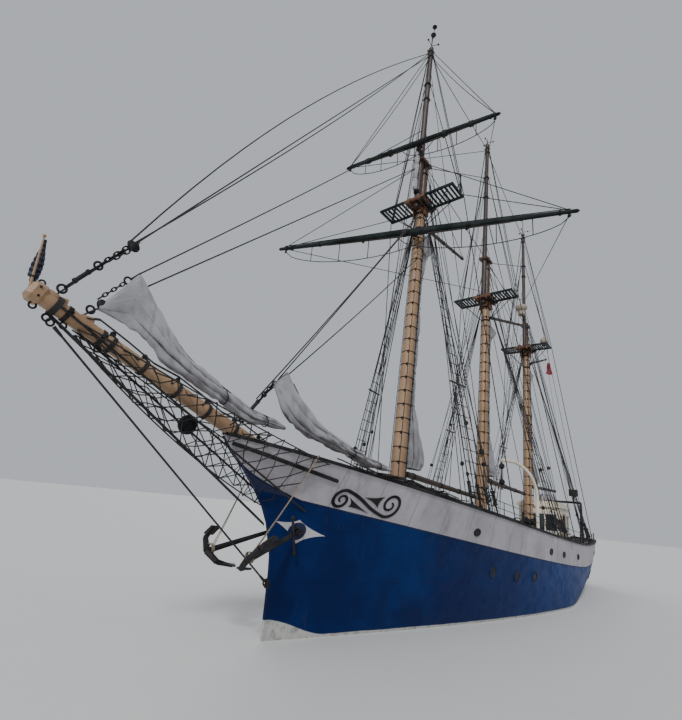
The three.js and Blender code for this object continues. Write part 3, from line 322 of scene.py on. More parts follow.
def yard_frame(name):
    """The yard's middle, its way to port and its way ahead."""
    y = YARDS[name]
    mast = mast_point("fore", y["z"]) if name == "lower_yard" else topmast_point("fore", y["z"])
    grip = (mast_radius("fore", y["z"]) if name == "lower_yard" else MASTS["fore"]["top"]) + 0.13
    pivot = mast + X_AXIS * grip
    ahead = spoke(y["braced"])
    arm = vec(-math.sin(y["braced"]), math.cos(y["braced"]), y["tilt"]).normalized()
    return pivot + ahead * (y["ahead"] - grip), arm, ahead


def yard_point(name, along, above=0.0, ahead=0.0):
    middle, arm, front = yard_frame(name)
    return middle + arm * along + UP * above + front * ahead


def spar_ends(name):
    mast, z, end_z, length, _, swing = SPARS[name]
    pivot = mast_point(mast, z, -(mast_radius(mast, z) + 0.16))
    rise = end_z - z
    run = math.sqrt(length**2 - rise**2)
    return pivot, pivot + vec(-run * math.cos(swing), -run * math.sin(swing), rise)


def shroud_line(mast, side, back):
    """The head and foot of one shroud."""
    m = MASTS[mast]
    hound = m["crosstree"] - HOUND_DROP
    head = mast_point(mast, hound, 0, side * (mast_radius(mast, hound) + 0.03))
    x = mast_x(mast, rail_height(m["x"])) - back
    return head, rail_point(x, side, 0.06, CAPRAIL_HEIGHT + 0.02)


# Modelling
def select_none():
    bpy.ops.object.select_all(action="DESELECT")


def alone(obj):
    select_none()
    obj.select_set(True)
    bpy.context.view_layer.objects.active = obj
    return obj


def edit(obj, *steps):
    """Runs mesh operators on all of a piece."""
    alone(obj)
    bpy.ops.object.mode_set(mode="EDIT")
    bpy.ops.mesh.select_all(action="SELECT")
    for step in steps:
        step()
    bpy.ops.object.mode_set(mode="OBJECT")
    return obj


def closed(obj, distance=1e-5):
    return edit(obj, lambda: bpy.ops.mesh.remove_doubles(threshold=distance),
                lambda: bpy.ops.mesh.normals_make_consistent(inside=False))


def named(name):
    obj = bpy.context.object
    obj.name = obj.data.name = name
    return obj


def settle(obj):
    """Puts an object's place into its mesh."""
    alone(obj)
    bpy.ops.object.transform_apply(location=True, rotation=True, scale=True)
    return obj


def bent_grid(name, along, across, place):
    """A grid whose points are placed by their shares along and across it."""
    select_none()
    bpy.ops.mesh.primitive_grid_add(x_subdivisions=along, y_subdivisions=across, size=1)
    obj = named(name)
    for vertex in obj.data.vertices:
        vertex.co = place(vertex.co.x + 0.5, vertex.co.y + 0.5)
    return obj


def modified(obj, kind, **settings):
    modifier = obj.modifiers.new(kind, kind)
    for key, value in settings.items():
        setattr(modifier, key, value)
    alone(obj)
    bpy.ops.object.modifier_apply(modifier=modifier.name)
    return obj


def thickened(obj, thickness):
    return modified(obj, "SOLIDIFY", thickness=thickness, offset=0)


def bevelled(obj, width, segments=2):
    return edit(obj, lambda: bpy.ops.mesh.bevel(offset=width, segments=segments, affect="EDGES"))


def bar(name, corners, side):
    """A closed bar whose corner lines all have the same number of points."""
    count, last = len(corners), len(corners[0]) - 1

    def place(u, v):
        p = corners[round(v * count) % count][round(u * last)]
        return vec(p.x, side * p.y, p.z)

    obj = closed(bent_grid(name, last, count, place), 1e-4)
    edit(obj, lambda: bpy.ops.mesh.select_all(action="DESELECT"),
         lambda: bpy.ops.mesh.select_non_manifold(), lambda: bpy.ops.mesh.fill_holes(sides=0))
    return closed(obj)


def box(name, low, high, bevel=0.0):
    select_none()
    middle = [(a + b) / 2 for a, b in zip(low, high)]
    bpy.ops.mesh.primitive_cube_add(size=1, location=middle, scale=[b - a for a, b in zip(low, high)])
    obj = settle(named(name))
    return bevelled(obj, bevel) if bevel else obj


def facing(axis):
    """The turn that brings Z to an axis."""
    return axis.to_track_quat("Z", "Y").to_euler()


def rod(name, start, end, radius, end_radius=None, sides=16):
    select_none()
    way = end - start
    bpy.ops.mesh.primitive_cone_add(
        vertices=sides, radius1=radius, radius2=radius if end_radius is None else end_radius,
        depth=way.length, location=start.lerp(end, 0.5), rotation=facing(way))
    return settle(named(name))


def post(name, foot, height, radius, end_radius=None, *, sides):
    """An upright rod."""
    return rod(name, foot, foot + UP * height, radius, end_radius, sides)


def collar(name, centre, reach, radius, sides):
    """A short band round a spar, from its middle and its reach along the spar to either side."""
    return rod(name, centre - reach, centre + reach, radius, sides=sides)


def ring(name, centre, axis, radius, thick, segments, sides, stretch=1.0):
    """A torus about an axis."""
    select_none()
    bpy.ops.mesh.primitive_torus_add(
        location=centre, rotation=facing(axis), major_radius=radius, minor_radius=thick,
        major_segments=segments, minor_segments=sides)
    obj = named(name)
    obj.scale = (stretch, 1, 1)
    return settle(obj)


def ball(name, centre, radius, squash, segments):
    """A sphere, squashed along each axis by a share."""
    select_none()
    bpy.ops.mesh.primitive_uv_sphere_add(
        segments=segments, ring_count=segments // 2, radius=radius, location=centre, scale=squash)
    return settle(named(name))


def joined(name, objects):
    select_none()
    for obj in objects:
        obj.select_set(True)
    bpy.context.view_layer.objects.active = objects[0]
    if len(objects) > 1:
        bpy.ops.object.join()
    return named(name)


def copies(name, model, places):
    """Copies of a model, each with its own mesh, joined. The model is used up."""
    made = []
    for place in places:
        copy = model.copy()
        copy.data = model.data.copy()
        copy.data.transform(place)
        bpy.context.scene.collection.objects.link(copy)
        made.append(copy)
    bpy.data.objects.remove(model)
    return joined(name, made)


def stood(point, axis, size, spin=0.0):
    """A place for a copy: its Z axis turned to an axis, at a point."""
    turn = axis.to_track_quat("Z", "Y").to_matrix().to_4x4() @ Matrix.Rotation(spin, 4, "Z")
    return Matrix.Translation(point) @ turn @ Matrix.Scale(size, 4)


def lines(name, routes, radius, resolution=1):
    """Round lines that run through points, as one mesh."""
    curve = bpy.data.curves.new(name, "CURVE")
    curve.dimensions = "3D"
    curve.bevel_depth = radius
    curve.bevel_resolution = resolution
    curve.use_fill_caps = True
    for route in routes:
        spline = curve.splines.new("POLY")
        spline.points.add(len(route) - 1)
        for point, place in zip(spline.points, route):
            point.co = (*place, 1)
    obj = bpy.data.objects.new(name, curve)
    bpy.context.scene.collection.objects.link(obj)
    alone(obj)
    bpy.ops.object.convert(target="MESH")
    return named(name)


def sagging(start, end, sag, count=8):
    """Points of a line that hangs between two points."""
    return [start.lerp(end, i / count) - UP * sag * 4 * (i / count) * (1 - i / count)
            for i in range(count + 1)]


def dressed(obj, look, slot, body="ship", angle=SOFT_ANGLE, replaces=()):
    """Gives a piece its material, its shading and its body; its slot is not used."""
    obj.data.materials.clear()
    obj.data.materials.append(LOOKS[look])
    if angle:
        alone(obj)
        bpy.ops.object.shade_smooth_by_angle(angle=math.radians(angle))
    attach(obj, body)
    if replaces:
        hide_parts(*replaces)
    return obj


def built(name, parts, look="iron", slot="dark_steel", body="ship", **settings):
    """Parts joined into one dressed piece."""
    return dressed(joined(name, parts), look, slot, body, **settings)


def rigged(name, routes, radius, look="rope", body="ship", resolution=1):
    """Ropes or wires through points, as one dressed piece."""
    return dressed(lines(name, routes, radius, resolution), look, "rigging", body, angle=ROUND_ANGLE)


def refined(node, look):
    """Gives a node of the frame its material and soft shading on its round faces."""
    obj = NODES[node]
    alone(obj)
    bpy.ops.mesh.customdata_custom_splitnormals_clear()
    obj.data.polygons.foreach_set("use_smooth", [True] * len(obj.data.polygons))
    weld = obj.modifiers.new("weld", "WELD")
    weld.merge_threshold = 1e-5
    split = obj.modifiers.new("edges", "EDGE_SPLIT")
    split.split_angle = math.radians(SOFT_ANGLE)
    obj.data.materials.clear()
    obj.data.materials.append(LOOKS[look])
    return obj


# Materials
class Look:
    """A node material in the making."""

    def __init__(self, name, roughness=0.5, metallic=0.0, shine=0.5):
        self.material = bpy.data.materials.new(name)
        self.material.use_nodes = True
        self.tree = self.material.node_tree
        self.shader = self.tree.nodes["Principled BSDF"]
        self.surface({"Roughness": roughness, "Metallic": metallic, "Specular IOR Level": shine})
        self.place = self.node("ShaderNodeTexCoord").outputs["Object"]

    def put(self, socket, value):
        """Links a socket to another, or gives it a value."""
        if isinstance(value, bpy.types.NodeSocket):
            self.tree.links.new(value, socket)
        elif socket.type == "RGBA":
            socket.default_value = (*value, 1)[:4]
        else:
            socket.default_value = value

    def surface(self, sockets):
        for key, value in sockets.items():
            self.put(self.shader.inputs[key], value)

    def node(self, kind, sockets=None, **settings):
        """A new node with its settings, and with values or links for its sockets."""
        made = self.tree.nodes.new(kind)
        for key, value in settings.items():
            setattr(made, key, value)
        for key, value in (sockets or {}).items():
            self.put(made.inputs[key], value)
        return made

    def stretched(self, scale, turn=(0, 0, 0)):
        sockets = {"Vector": self.place, "Scale": scale, "Rotation": turn}
        return self.node("ShaderNodeMapping", sockets).outputs["Vector"]

    def noise(self, scale, detail=4, rough=0.6, stretch=(1, 1, 1)):
        sockets = {"Vector": self.stretched(stretch), "Scale": scale, "Detail": detail, "Roughness": rough}
        return self.node("ShaderNodeTexNoise", sockets).outputs["Fac"]

    def bands(self, direction, scale, distortion=0.0, place=None):
        sockets = {"Vector": place or self.place, "Scale": scale, "Distortion": distortion}
        made = self.node("ShaderNodeTexWave", sockets, wave_type="BANDS", bands_direction=direction)
        return made.outputs["Fac"]

    def bricks(self, width, height, mortar, offset, sockets):
        """Courses of plates or planks one unit to the metre."""
        sizes = {"Scale": 1.0, "Brick Width": width, "Row Height": height, "Mortar Size": mortar}
        return self.node("ShaderNodeTexBrick", {**sizes, **sockets}, offset=offset)

    def ramp(self, value, low, high, out=(0, 1)):
        sockets = dict(enumerate((value, low, high, *out)))
        return self.node("ShaderNodeMapRange", sockets, interpolation_type="SMOOTHSTEP").outputs["Result"]

    def mix(self, share, one, other):
        return self.node("ShaderNodeMix", {"Factor": share, 6: one, 7: other}, data_type="RGBA").outputs[2]

    def layers(self, base, *rows):
        """Patches over a base. A row: the noise's settings, its low and high value, share and colour."""
        for spread, low, high, share, colour in rows:
            base = self.mix(self.ramp(self.noise(*spread), low, high, (0, share)), base, colour)
        return base

    def math(self, operation, one, other):
        return self.node("ShaderNodeMath", {0: one, 1: other}, operation=operation).outputs[0]

    def axis(self, letter):
        return self.node("ShaderNodeSeparateXYZ", {0: self.place}).outputs[letter]

    def bump(self, height, distance, strength=1.0):
        made = self.node("ShaderNodeBump", {"Height": height, "Distance": distance, "Strength": strength})
        self.surface({"Normal": made.outputs["Normal"]})

    def colour(self, value):
        self.surface({"Base Color": value})

    def rough(self, value, low, high, out):
        self.surface({"Roughness": self.ramp(value, low, high, out)})


def shade(colour, factor):
    return [c * factor for c in colour]


def worn_paint(name, colour, dirt, wear, roughness, rust=0.0, scale=1.0, shine=0.5, brown_above=None):
    """Brushed paint with fading, streaks that run down, rust where asked and brown varnish above a height."""
    look = Look(name, shine=shine)
    paler = [min(1, c * 1.25 + 0.02) for c in colour]
    base = look.mix(look.ramp(look.noise(0.7 * scale, 5), 0.35, 0.7), colour, paler)
    base = look.layers(base, ((2.2 * scale, 5, 0.6, RUN_DOWN), 0.52, 0.8, wear, dirt))
    if rust:
        base = look.layers(base, ((9 * scale, 8, 0.75), 0.68, 0.74, rust, (0.24, 0.09, 0.03)))
    if brown_above is not None:
        share = look.ramp(look.axis("Z"), brown_above - 0.1, brown_above + 0.4, (0, 0.95))
        base = look.mix(share, base, (0.06, 0.03, 0.018))
    look.colour(base)
    look.rough(look.noise(6 * scale), 0.2, 0.8, (roughness - 0.1, roughness + 0.2))
    look.bump(look.noise(22 * scale, 6), 0.004)
    return look.material


def grained_wood(name, colour, dark, axis, roughness=0.5):
    look = Look(name)
    stretch = [9.0, 9.0, 9.0]
    stretch[axis] = 0.6
    grain = look.noise(2.5, 8, 0.65, stretch)
    tone = look.mix(look.ramp(grain, 0.3, 0.72), dark, colour)
    look.colour(look.layers(tone, ((0.9, 3), 0.3, 0.8, 0.35, dark)))
    look.rough(grain, 0.2, 0.8, (roughness + 0.12, roughness - 0.08))
    look.bump(grain, 0.004)
    return look.material


def hull_paint(paint):
    """Blue topsides over a white boot top and dark red bottom paint, with plating, streaks and a blue that is
    darker forward and lighter aft.
    """
    look = Look("hull_paint", shine=0.12)
    z, x = look.axis("Z"), look.axis("X")
    # The blue turns from darker forward to lighter aft along the hull, under its patches and streaks
    blue = look.layers(
        look.mix(look.ramp(x, 10, -12), paint.blue, paint.blue_aft),
        ((0.35, 6), 0.42, 0.72, 0.4, paint.blue_aft),
        ((1.3, 6, 0.6, RUN_DOWN), 0.48, 0.8, 0.4, (0.003, 0.01, 0.04)),
        ((3.0, 8, 0.7, (1, 1, 0.25)), 0.58, 0.82, 0.1, (0.05, 0.09, 0.2)),
        ((4.5, 7, 0.7, (1, 1, 0.07)), 0.63, 0.76, 0.35, (0.1, 0.07, 0.06)),
        ((5.0, 9, 0.8, (1, 1, 0.5)), 0.66, 0.75, 0.6, (0.12, 0.05, 0.025)),
    )
    stem = look.ramp(x, 11.4, 13.0, (0.05, 0.42))
    edge = look.math("ADD", stem, look.math("MULTIPLY", look.noise(1.2, 3), 0.04))
    above = look.ramp(look.math("SUBTRACT", z, edge), -0.012, 0.012)
    white = look.layers((0.42, 0.42, 0.4), ((6, 6), 0.45, 0.7, 0.6, (0.12, 0.14, 0.1)))
    red = look.mix(look.noise(4, 8, 0.7), (0.16, 0.03, 0.022), (0.09, 0.05, 0.035))
    look.colour(look.mix(above, look.mix(look.ramp(z, -0.03, 0.0), red, white), blue))
    look.rough(look.noise(2.5, 5), 0.3, 0.75, (0.4, 0.6))
    dents = look.math("MULTIPLY", look.noise(0.8, 3), 1.2)
    ripples = look.math("MULTIPLY", look.noise(2.4, 2, 0.4), 0.25)
    upright = look.stretched((1, 1, 1), (math.pi / 2, 0, 0))
    plates = look.bricks(3.1, 1.25, 0.012, 0.5, {"Vector": upright, "Mortar Smooth": 0.6})
    seams = look.math("MULTIPLY", plates.outputs["Fac"], 0.35)
    look.bump(look.math("ADD", look.math("ADD", dents, ripples), seams), 0.06, 0.6)
    return look.material


def band_paint(paint):
    """Grey white bulwark paint with plate seams, grime and rust, and blue at the stem below a rising line."""
    look = Look("band_paint")
    x, z = look.axis("X"), look.axis("Z")
    line = look.ramp(look.bands("X", 0.26), 0.004, 0.0)
    base = look.layers(
        look.mix(look.ramp(look.noise(0.8, 6), 0.3, 0.75), paint.white, shade(paint.white, 0.72)),
        ((3.2, 7, 0.65, (1, 1, 0.13)), 0.5, 0.78, 0.5, (0.13, 0.1, 0.1)),
        ((1.7, 8, 0.75), 0.56, 0.7, 0.45, (0.16, 0.13, 0.14)),
        ((11, 9, 0.8), 0.62, 0.71, 0.75, (0.16, 0.07, 0.035)),
        ((1.9, 7, 0.7, (1, 1, 0.5)), 0.6, 0.74, 0.5, (0.26, 0.19, 0.11)),
    )
    base = look.mix(look.math("MULTIPLY", line, 0.28), base, (0.09, 0.08, 0.08))
    ahead = look.math("SUBTRACT", x, BLUE_RISE["x"])
    steep = look.math("MULTIPLY", look.math("POWER", ahead, 4.0), BLUE_RISE["steep"])
    rise = look.math("ADD", look.math("MULTIPLY", ahead, BLUE_RISE["slope"]), steep)
    above = look.ramp(look.math("SUBTRACT", look.math("SUBTRACT", z, BLUE_RISE["z"]), rise), -0.01, 0.01)
    share = look.math("MULTIPLY", look.ramp(x, 12.8, 12.82), look.math("SUBTRACT", 1.0, above))
    look.colour(look.mix(share, base, paint.blue))
    look.rough(look.noise(5, 5), 0.3, 0.75, (0.4, 0.65))
    dents = look.math("MULTIPLY", look.noise(1.4, 4), 0.7)
    look.bump(look.math("SUBTRACT", dents, look.math("MULTIPLY", line, 0.3)), 0.035, 0.7)
    return look.material


def deck_planks():
    look = Look("deck_planks")
    colours = {"Color1": (0.3, 0.24, 0.17), "Color2": (0.38, 0.31, 0.23), "Mortar": (0.02, 0.02, 0.02)}
    planks = look.bricks(4.2, 0.12, 0.004, 0.37, {"Vector": look.place, **colours})
    grain = look.noise(3, 8, 0.7, (0.6, 9, 9))
    tone = look.mix(look.ramp(grain, 0.3, 0.75, (0, 0.5)), planks.outputs["Color"], (0.16, 0.12, 0.09))
    look.colour(look.layers(tone, ((0.6, 5), 0.4, 0.75, 0.4, (0.2, 0.18, 0.16))))
    look.rough(grain, 0.2, 0.8, (0.55, 0.8))
    look.bump(look.math("SUBTRACT", look.math("MULTIPLY", grain, 0.3), planks.outputs["Fac"]), 0.006)
    return look.material


def striped_flag():
    """Dark blue flag with a few pale stripes."""
    look = Look("striped_flag", 0.8)
    band = look.ramp(look.bands("Z", 3.4, 2.5), 0.62, 0.66)
    tone = look.mix(look.noise(14, 4), (0.006, 0.01, 0.03), (0.012, 0.018, 0.045))
    look.colour(look.mix(look.math("MULTIPLY", band, 0.75), tone, (0.1, 0.09, 0.12)))
    look.bump(look.noise(60, 3), 0.004)
    return look.material


def sailcloth(name, cloth):
    """Heavy weathered cloth: woven, seamed in strips, with painted shade that darkens its deep folds."""
    look = Look(name, 0.85)
    uv = look.node("ShaderNodeTexCoord").outputs["UV"]
    base = look.mix(look.ramp(look.noise(1.3, 7, 0.65), 0.35, 0.75), cloth, shade(cloth, 0.6))
    base = look.layers(base, ((5, 8, 0.75), 0.6, 0.78, 0.45, shade(cloth, 0.38)))
    # Painted shade: points deep in a fold of gathered cloth are darkened
    fold = look.node("ShaderNodeAttribute", attribute_name=FOLD_SHADE_DEPTH).outputs["Fac"]
    base = look.mix(look.ramp(fold, 0.95, 0.5, (0, 0.8)), base, shade(cloth, 0.22))
    seam = look.ramp(look.bands("X", 1.6, place=uv), 0.02, 0.0)
    look.colour(look.mix(look.math("MULTIPLY", seam, 0.4), base, shade(cloth, 0.5)))
    weave = look.math("MULTIPLY", look.noise(160, 2), 0.05)
    look.bump(look.math("ADD", weave, look.math("MULTIPLY", look.noise(7, 8, 0.75), 0.8)), 0.02, 0.8)
    look.surface({"Sheen Weight": 0.25, "Sheen Roughness": 0.5})
    return look.material


def laid_rope(name, colour):
    look = Look(name, 0.9)
    twist = look.bands("DIAGONAL", 18, 1.5)
    tone = look.mix(look.noise(4, 5), shade(colour, 0.6), [min(1, c * 1.7 + 0.01) for c in colour])
    look.colour(look.mix(look.math("MULTIPLY", twist, 0.35), tone, shade(colour, 0.4)))
    look.bump(twist, 0.004)
    return look.material


def bare_metal(name, colour, roughness, wear=0.5, tarnish=(0.1, 0.07, 0.05)):
    look = Look(name, roughness, 1.0)
    cloud = look.noise(6, 7, 0.7)
    look.colour(look.mix(look.ramp(cloud, 0.45, 0.75, (0, wear)), colour, tarnish))
    look.rough(cloud, 0.3, 0.75, (roughness - 0.08, roughness + 0.3))
    look.bump(look.noise(30, 5), 0.002)
    return look.material


def window_glass():
    look = Look("window_glass", 0.06, shine=0.8)
    look.colour(look.mix(look.noise(2, 3), (0.012, 0.016, 0.02), (0.03, 0.038, 0.045)))
    look.bump(look.noise(1.5, 2), 0.01, 0.15)
    return look.material


def make_looks(scene):
    """All the materials, made once."""
    paint, sail = scene.schooner_paint, scene.schooner_sails
    LOOKS.update(
        hull=hull_paint(paint),
        band=band_paint(paint),
        deck=deck_planks(),
        black=worn_paint("black_paint", paint.black, (0.03, 0.028, 0.026), 0.5, 0.5, 0.15, 1.0, 0.12),
        buff=worn_paint("buff_paint", paint.buff, (0.19, 0.115, 0.06), 0.6, 0.42, 0.25, 1.4),
        green=worn_paint("green_black_paint", paint.green, (0.02, 0.015, 0.012), 0.5, 0.45, 0.3, 1.4, 0.15),
        cream=worn_paint("cream_paint", paint.cream, (0.3, 0.24, 0.17), 0.4, 0.45, 0.35),
        white=worn_paint("white_paint", paint.white, (0.3, 0.26, 0.22), 0.4, 0.45, 0.35),
        iron=worn_paint("dark_ironwork", (0.009, 0.009, 0.01), (0.035, 0.02, 0.014), 0.55, 0.55, 0.5, 2.0,
                        0.15),
        radome=worn_paint("radome_paint", (0.3, 0.26, 0.21), (0.08, 0.05, 0.035), 0.8, 0.5, 0.6, 2.0, 0.3),
        red=worn_paint("red_paint", (0.32, 0.05, 0.035), (0.12, 0.03, 0.02), 0.5, 0.45, 0.2, 2.0),
        spar=grained_wood("dark_spar", (0.055, 0.034, 0.026), (0.02, 0.013, 0.012), 0),
        topmast=grained_wood("dark_topmast", (0.06, 0.036, 0.027), (0.02, 0.013, 0.012), 2),
        timber=grained_wood("red_brown_timber", (0.2, 0.085, 0.042), (0.07, 0.03, 0.018), 0, 0.42),
        pupil=worn_paint("eye_paint", (0.003, 0.009, 0.045), (0.02, 0.025, 0.05), 0.4, 0.5, 0.1, 1.0, 0.2),
        port=worn_paint("dark_port_glass", (0.002, 0.004, 0.009), (0.01, 0.012, 0.018), 0.3, 0.3, 0.0, 1.0,
                        0.2),
        pennant=worn_paint("pennant_cloth", (0.17, 0.014, 0.03), (0.06, 0.01, 0.02), 0.4, 0.8),
        teak=grained_wood("varnished_teak", (0.28, 0.13, 0.055), (0.11, 0.045, 0.02), 0, 0.32),
        cloth=sailcloth("sailcloth", sail.cloth),
        shaded=sailcloth("shaded_sailcloth", shade(sail.cloth, 0.8)),
        flag=striped_flag(),
        rope=laid_rope("tarred_rope", (0.016, 0.015, 0.015)),
        hemp=laid_rope("pale_rope", (0.25, 0.2, 0.145)),
        steel=bare_metal("galvanised_steel", (0.28, 0.29, 0.3), 0.45),
        bronze=bare_metal("dull_bronze", (0.42, 0.27, 0.11), 0.38, 0.6, (0.09, 0.1, 0.06)),
        glass=window_glass(),
    )
    for mast, m in MASTS.items():
        LOOKS[mast] = worn_paint(f"{mast}_mast_paint", paint.buff, (0.15, 0.09, 0.05), 0.6, 0.42, 0.3, 1.4,
                                 brown_above=m["crosstree"])


# Hull
def side_height(v):
    """Height on the side as a share of the way from the deck's edge down to the keel."""
    if v < SHARE_ABOVE:
        return lambda x: deck_height(x) * (1 - v / SHARE_ABOVE)
    return lambda x: DEEPEST * ((v - SHARE_ABOVE) / (1 - SHARE_ABOVE))


def make_hull():
    """Plated skin from the deck's edge round the keel, closed under the deck, and the planked deck."""
    half = 22
    rows = 2 * half + 2
    lines_down = [level_line(side_height(i / half)) for i in range(half + 1)]

    def skin(u, v):
        row = round(v * rows) % rows
        side, index = (1, row) if row <= half else (-1, 2 * half + 1 - row)
        end = round(u * (FRAMES + 2)) in (0, FRAMES + 2)
        column = min(max(round(u * (FRAMES + 2)) - 1, 0), FRAMES)
        p = lines_down[index][column].copy()
        p.y = 0.0 if end else side * p.y
        return p

    shell = closed(bent_grid("hull_skin", FRAMES + 2, rows, skin))
    tube = rod("tube", *(Vector(end) for end in STERN_TUBE), 0.16, 0.14, 24)
    sole = box("sole", *SOLE_PIECE, 0.01)
    built("hull_skin", [shell, tube, sole], "hull", "hull_blue", angle=40, replaces=["hull"])
    edge = moved_in(level_line(deck_height), 0.02)

    def deck(u, v):
        p = edge[round(u * FRAMES)]
        return vec(p.x, p.y * (2 * v - 1), p.z + DECK_COVER)

    planks = bent_grid("deck", FRAMES, 8, deck)
    modified(planks, "SOLIDIFY", thickness=DECK_COVER, offset=-1)
    dressed(closed(planks), "deck", "teak", angle=30)


def make_bulwarks():
    """White band of plating, its mouldings and rubbing bars, stanchions, fairleads and the black caprail."""
    steps = 5
    heights = [lambda x, s=s: deck_height(x) + BULWARK_HEIGHT * s / steps for s in range(steps + 1)]
    outer = [level_line(h) for h in heights]
    inner = [moved_in(line, BULWARK_WALL) for line in (outer[-1], outer[0])]
    low = level_line(rail_height)
    high = [p + UP * CAPRAIL_HEIGHT for p in low]
    corners = [moved_in(low, -0.05), moved_in(high, -0.055), moved_in(high, 0.15), moved_in(low, 0.15)]
    for side in SIDES:
        word = word_for(side)
        band = bar(f"{word}_band", outer + inner, side)
        dressed(band, "band", "band_white", angle=30, replaces=[f"{word}_bulwark"])
        rail = bar(f"{word}_rail", corners, side)
        modified(rail, "BEVEL", width=0.018, segments=2, limit_method="ANGLE", angle_limit=math.radians(50))
        dressed(rail, "black", "rail_black", angle=40, replaces=[f"{word}_caprail"])
        moulding = skin_bar(f"{word}_moulding", (14.3, -13.6, 110), lambda x: blue_height(x) - 0.02,
                            0.02, 0.014, side)
        dressed(moulding, "pupil", "hull_blue")
        fender = skin_bar(f"{word}_bow_fender", (14.8, 12.2, 30),
                          lambda x: rail_height(x) - 0.33 + 0.075 * (x - 12.2), 0.04, 0.07, side)
        dressed(fender, "black", "rail_black", angle=60)
    make_stanchions()
    make_fairleads()


def skin_bar(name, span, height_at, half_height, out, side):
    """A half-round bar along the ship's side. The span is its fore end, its aft end and its steps."""
    fore, aft, steps = span
    xs = [fore + (aft - fore) * i / steps for i in range(steps + 1)]
    corners = []
    for k in range(8):
        angle = math.pi * k / 7
        rise, reach = -half_height * math.cos(angle), out * math.sin(angle)
        corners.append([on_skin(x, height_at(x) + rise, 1, reach - 0.004) for x in xs])
    return bar(name, corners, side)


def make_stanchions():
    """Posts that lean with the bulwark's inner face."""
    posts = []
    for side in SIDES:
        for i in range(26):
            x = 12.6 - i
            ends = [inside_point(x, z, side, BULWARK_WALL + 0.05)
                    for z in (deck_height(x), rail_height(x) - 0.02)]
            posts.append(rod("stanchion", *ends, 0.05, sides=4))
    built("bulwark_stanchions", posts, "band", "band_white")


def make_fairleads():
    """Oval mooring holes in the band, each filled with a dark disc as painted shade of its opening, and dark
    portholes in the topsides.
    """
    model = ring("fairlead", Vector(), UP, 0.1, 0.028, 24, 8, 1.35)
    # Painted shade: a dark disc stands in for the shadowed opening of each hole
    disc = rod("dark", vec(0, 0, -0.02), vec(0, 0, 0.012), 0.098, sides=24)
    disc.data.transform(Matrix.Diagonal((1.35, 1, 1, 1)))
    model = joined("fairlead", [model, disc])
    places = []
    for side in SIDES:
        for x, z in FAIRLEADS:
            places.append(skin_place(x, max(z, deck_height(x) + 0.3), side, 0.004))
    dressed(copies("fairleads", model, places), "iron", "rail_black")
    frame_model = ring("port", Vector(), UP, 0.17, 0.024, 28, 8)
    pane = ball("pane", Vector(), 0.165, (1, 1, 0.08), 24)
    frames, panes = [], []
    for side in SIDES:
        for x, z in PORTHOLES:
            frames.append(skin_place(x, z, side, 0.004))
            panes.append(skin_place(x, z, side, 0.002))
    dressed(copies("porthole_rims", frame_model, frames), "pupil", "hull_blue")
    dressed(copies("porthole_panes", pane, panes), "port", "rail_black")


def skin_place(x, z, side, out):
    """A place on the ship's side with Z outward and X along the side."""
    p = on_skin(x, z, side, out)
    normal = (on_skin(x, z, side, out + 0.1) - p).normalized()
    along = (X_AXIS - normal * X_AXIS.dot(normal)).normalized()
    turn = Matrix((along, normal.cross(along), normal)).transposed().to_4x4()
    return Matrix.Translation(p) @ turn


def flat_on_skin(name, outline, side, out, centre):
    """A thin plate laid on the ship's side, from an outline of x and z about a centre."""
    spokes = len(outline)

    def place(u, v):
        a, b = outline[round(u * spokes) % spokes]
        x, z = centre[0] + a * v, centre[1] + b * v
        return on_skin(x, z, side, out)

    plate = closed(bent_grid(name, spokes, 5, place), 1e-4)
    return thickened(plate, 0.006)


# Bow ornaments, as x and z on the side
EYE_CENTRE = (12.62, 2.42)
EYE_POINTS = ((0.55, 0.2), (0.02, 0.27), (-0.72, -0.07), (-0.06, -0.29))
EYE_DISC = 0.21
SCROLL_START = (11.88, 3.27)
SCROLL_SPAN = 1.38
SCROLL_RADIUS = 0.25
SCROLL_AFT = 1.32
STAR_STEPS = 7
SCROLL_LEAVES = (((0.56, 0.12), (1.12, 0.19), (1.04, -0.1)), ((0.18, 0.08), (0.25, -0.15), (0.86, -0.27)))


def concave_star(points, pull):
    """The outline of a star, its sides drawn in towards its middle."""
    middle = Vector((sum(p[0] for p in points), sum(p[1] for p in points))) / len(points)
    outline = []
    for a, b in zip(points, points[1:] + points[:1]):
        bend = middle + ((Vector(a) + Vector(b)) / 2 - middle) * pull
        for t in (i / STAR_STEPS for i in range(STAR_STEPS)):
            outline.append(tuple((1 - t) ** 2 * Vector(a) + 2 * t * (1 - t) * bend + t * t * Vector(b)))
    return outline


def scroll_path():
    """Points of an S scroll with a spiral at each end, as distance aft and height from its first centre."""
    turns, steps = 1.55, 44
    first = []
    for i in range(steps + 1):
        t = i / steps
        angle, r = math.radians(60) + 2 * math.pi * turns * (1 - t), 0.035 + (SCROLL_RADIUS - 0.035) * t
        first.append((r * math.cos(angle), r * math.sin(angle)))
    last = [(SCROLL_SPAN - SCROLL_AFT * s, -SCROLL_AFT * t) for s, t in reversed(first)]
    (s0, t0), (s1, t1) = first[-1], last[0]
    bridge = [(s0 + (s1 - s0) * i / 10, t0 + (t1 - t0) * i / 10 + 0.02 * math.sin(2 * math.pi * i / 10))
              for i in range(1, 10)]
    return first + bridge + last


def ribbon_on_skin(name, points, side, width, out):
    """A flat ribbon on the ship's side that follows points and tapers to its ends."""
    count = len(points) - 1

    def place(u, v):
        i = round(u * count)
        a, b = Vector(points[max(i - 1, 0)]), Vector(points[min(i + 1, count)])
        way = (b - a).normalized()
        w = width * (0.35 + 0.65 * math.sin(math.pi * min(max(u, 0.02), 0.98)) ** 0.6)
        x, z = Vector(points[i]) + Vector((-way.y, way.x)) * w * (v - 0.5)
        return on_skin(x, z, side, out)

    return thickened(bent_grid(name, count, 2, place), 0.008)


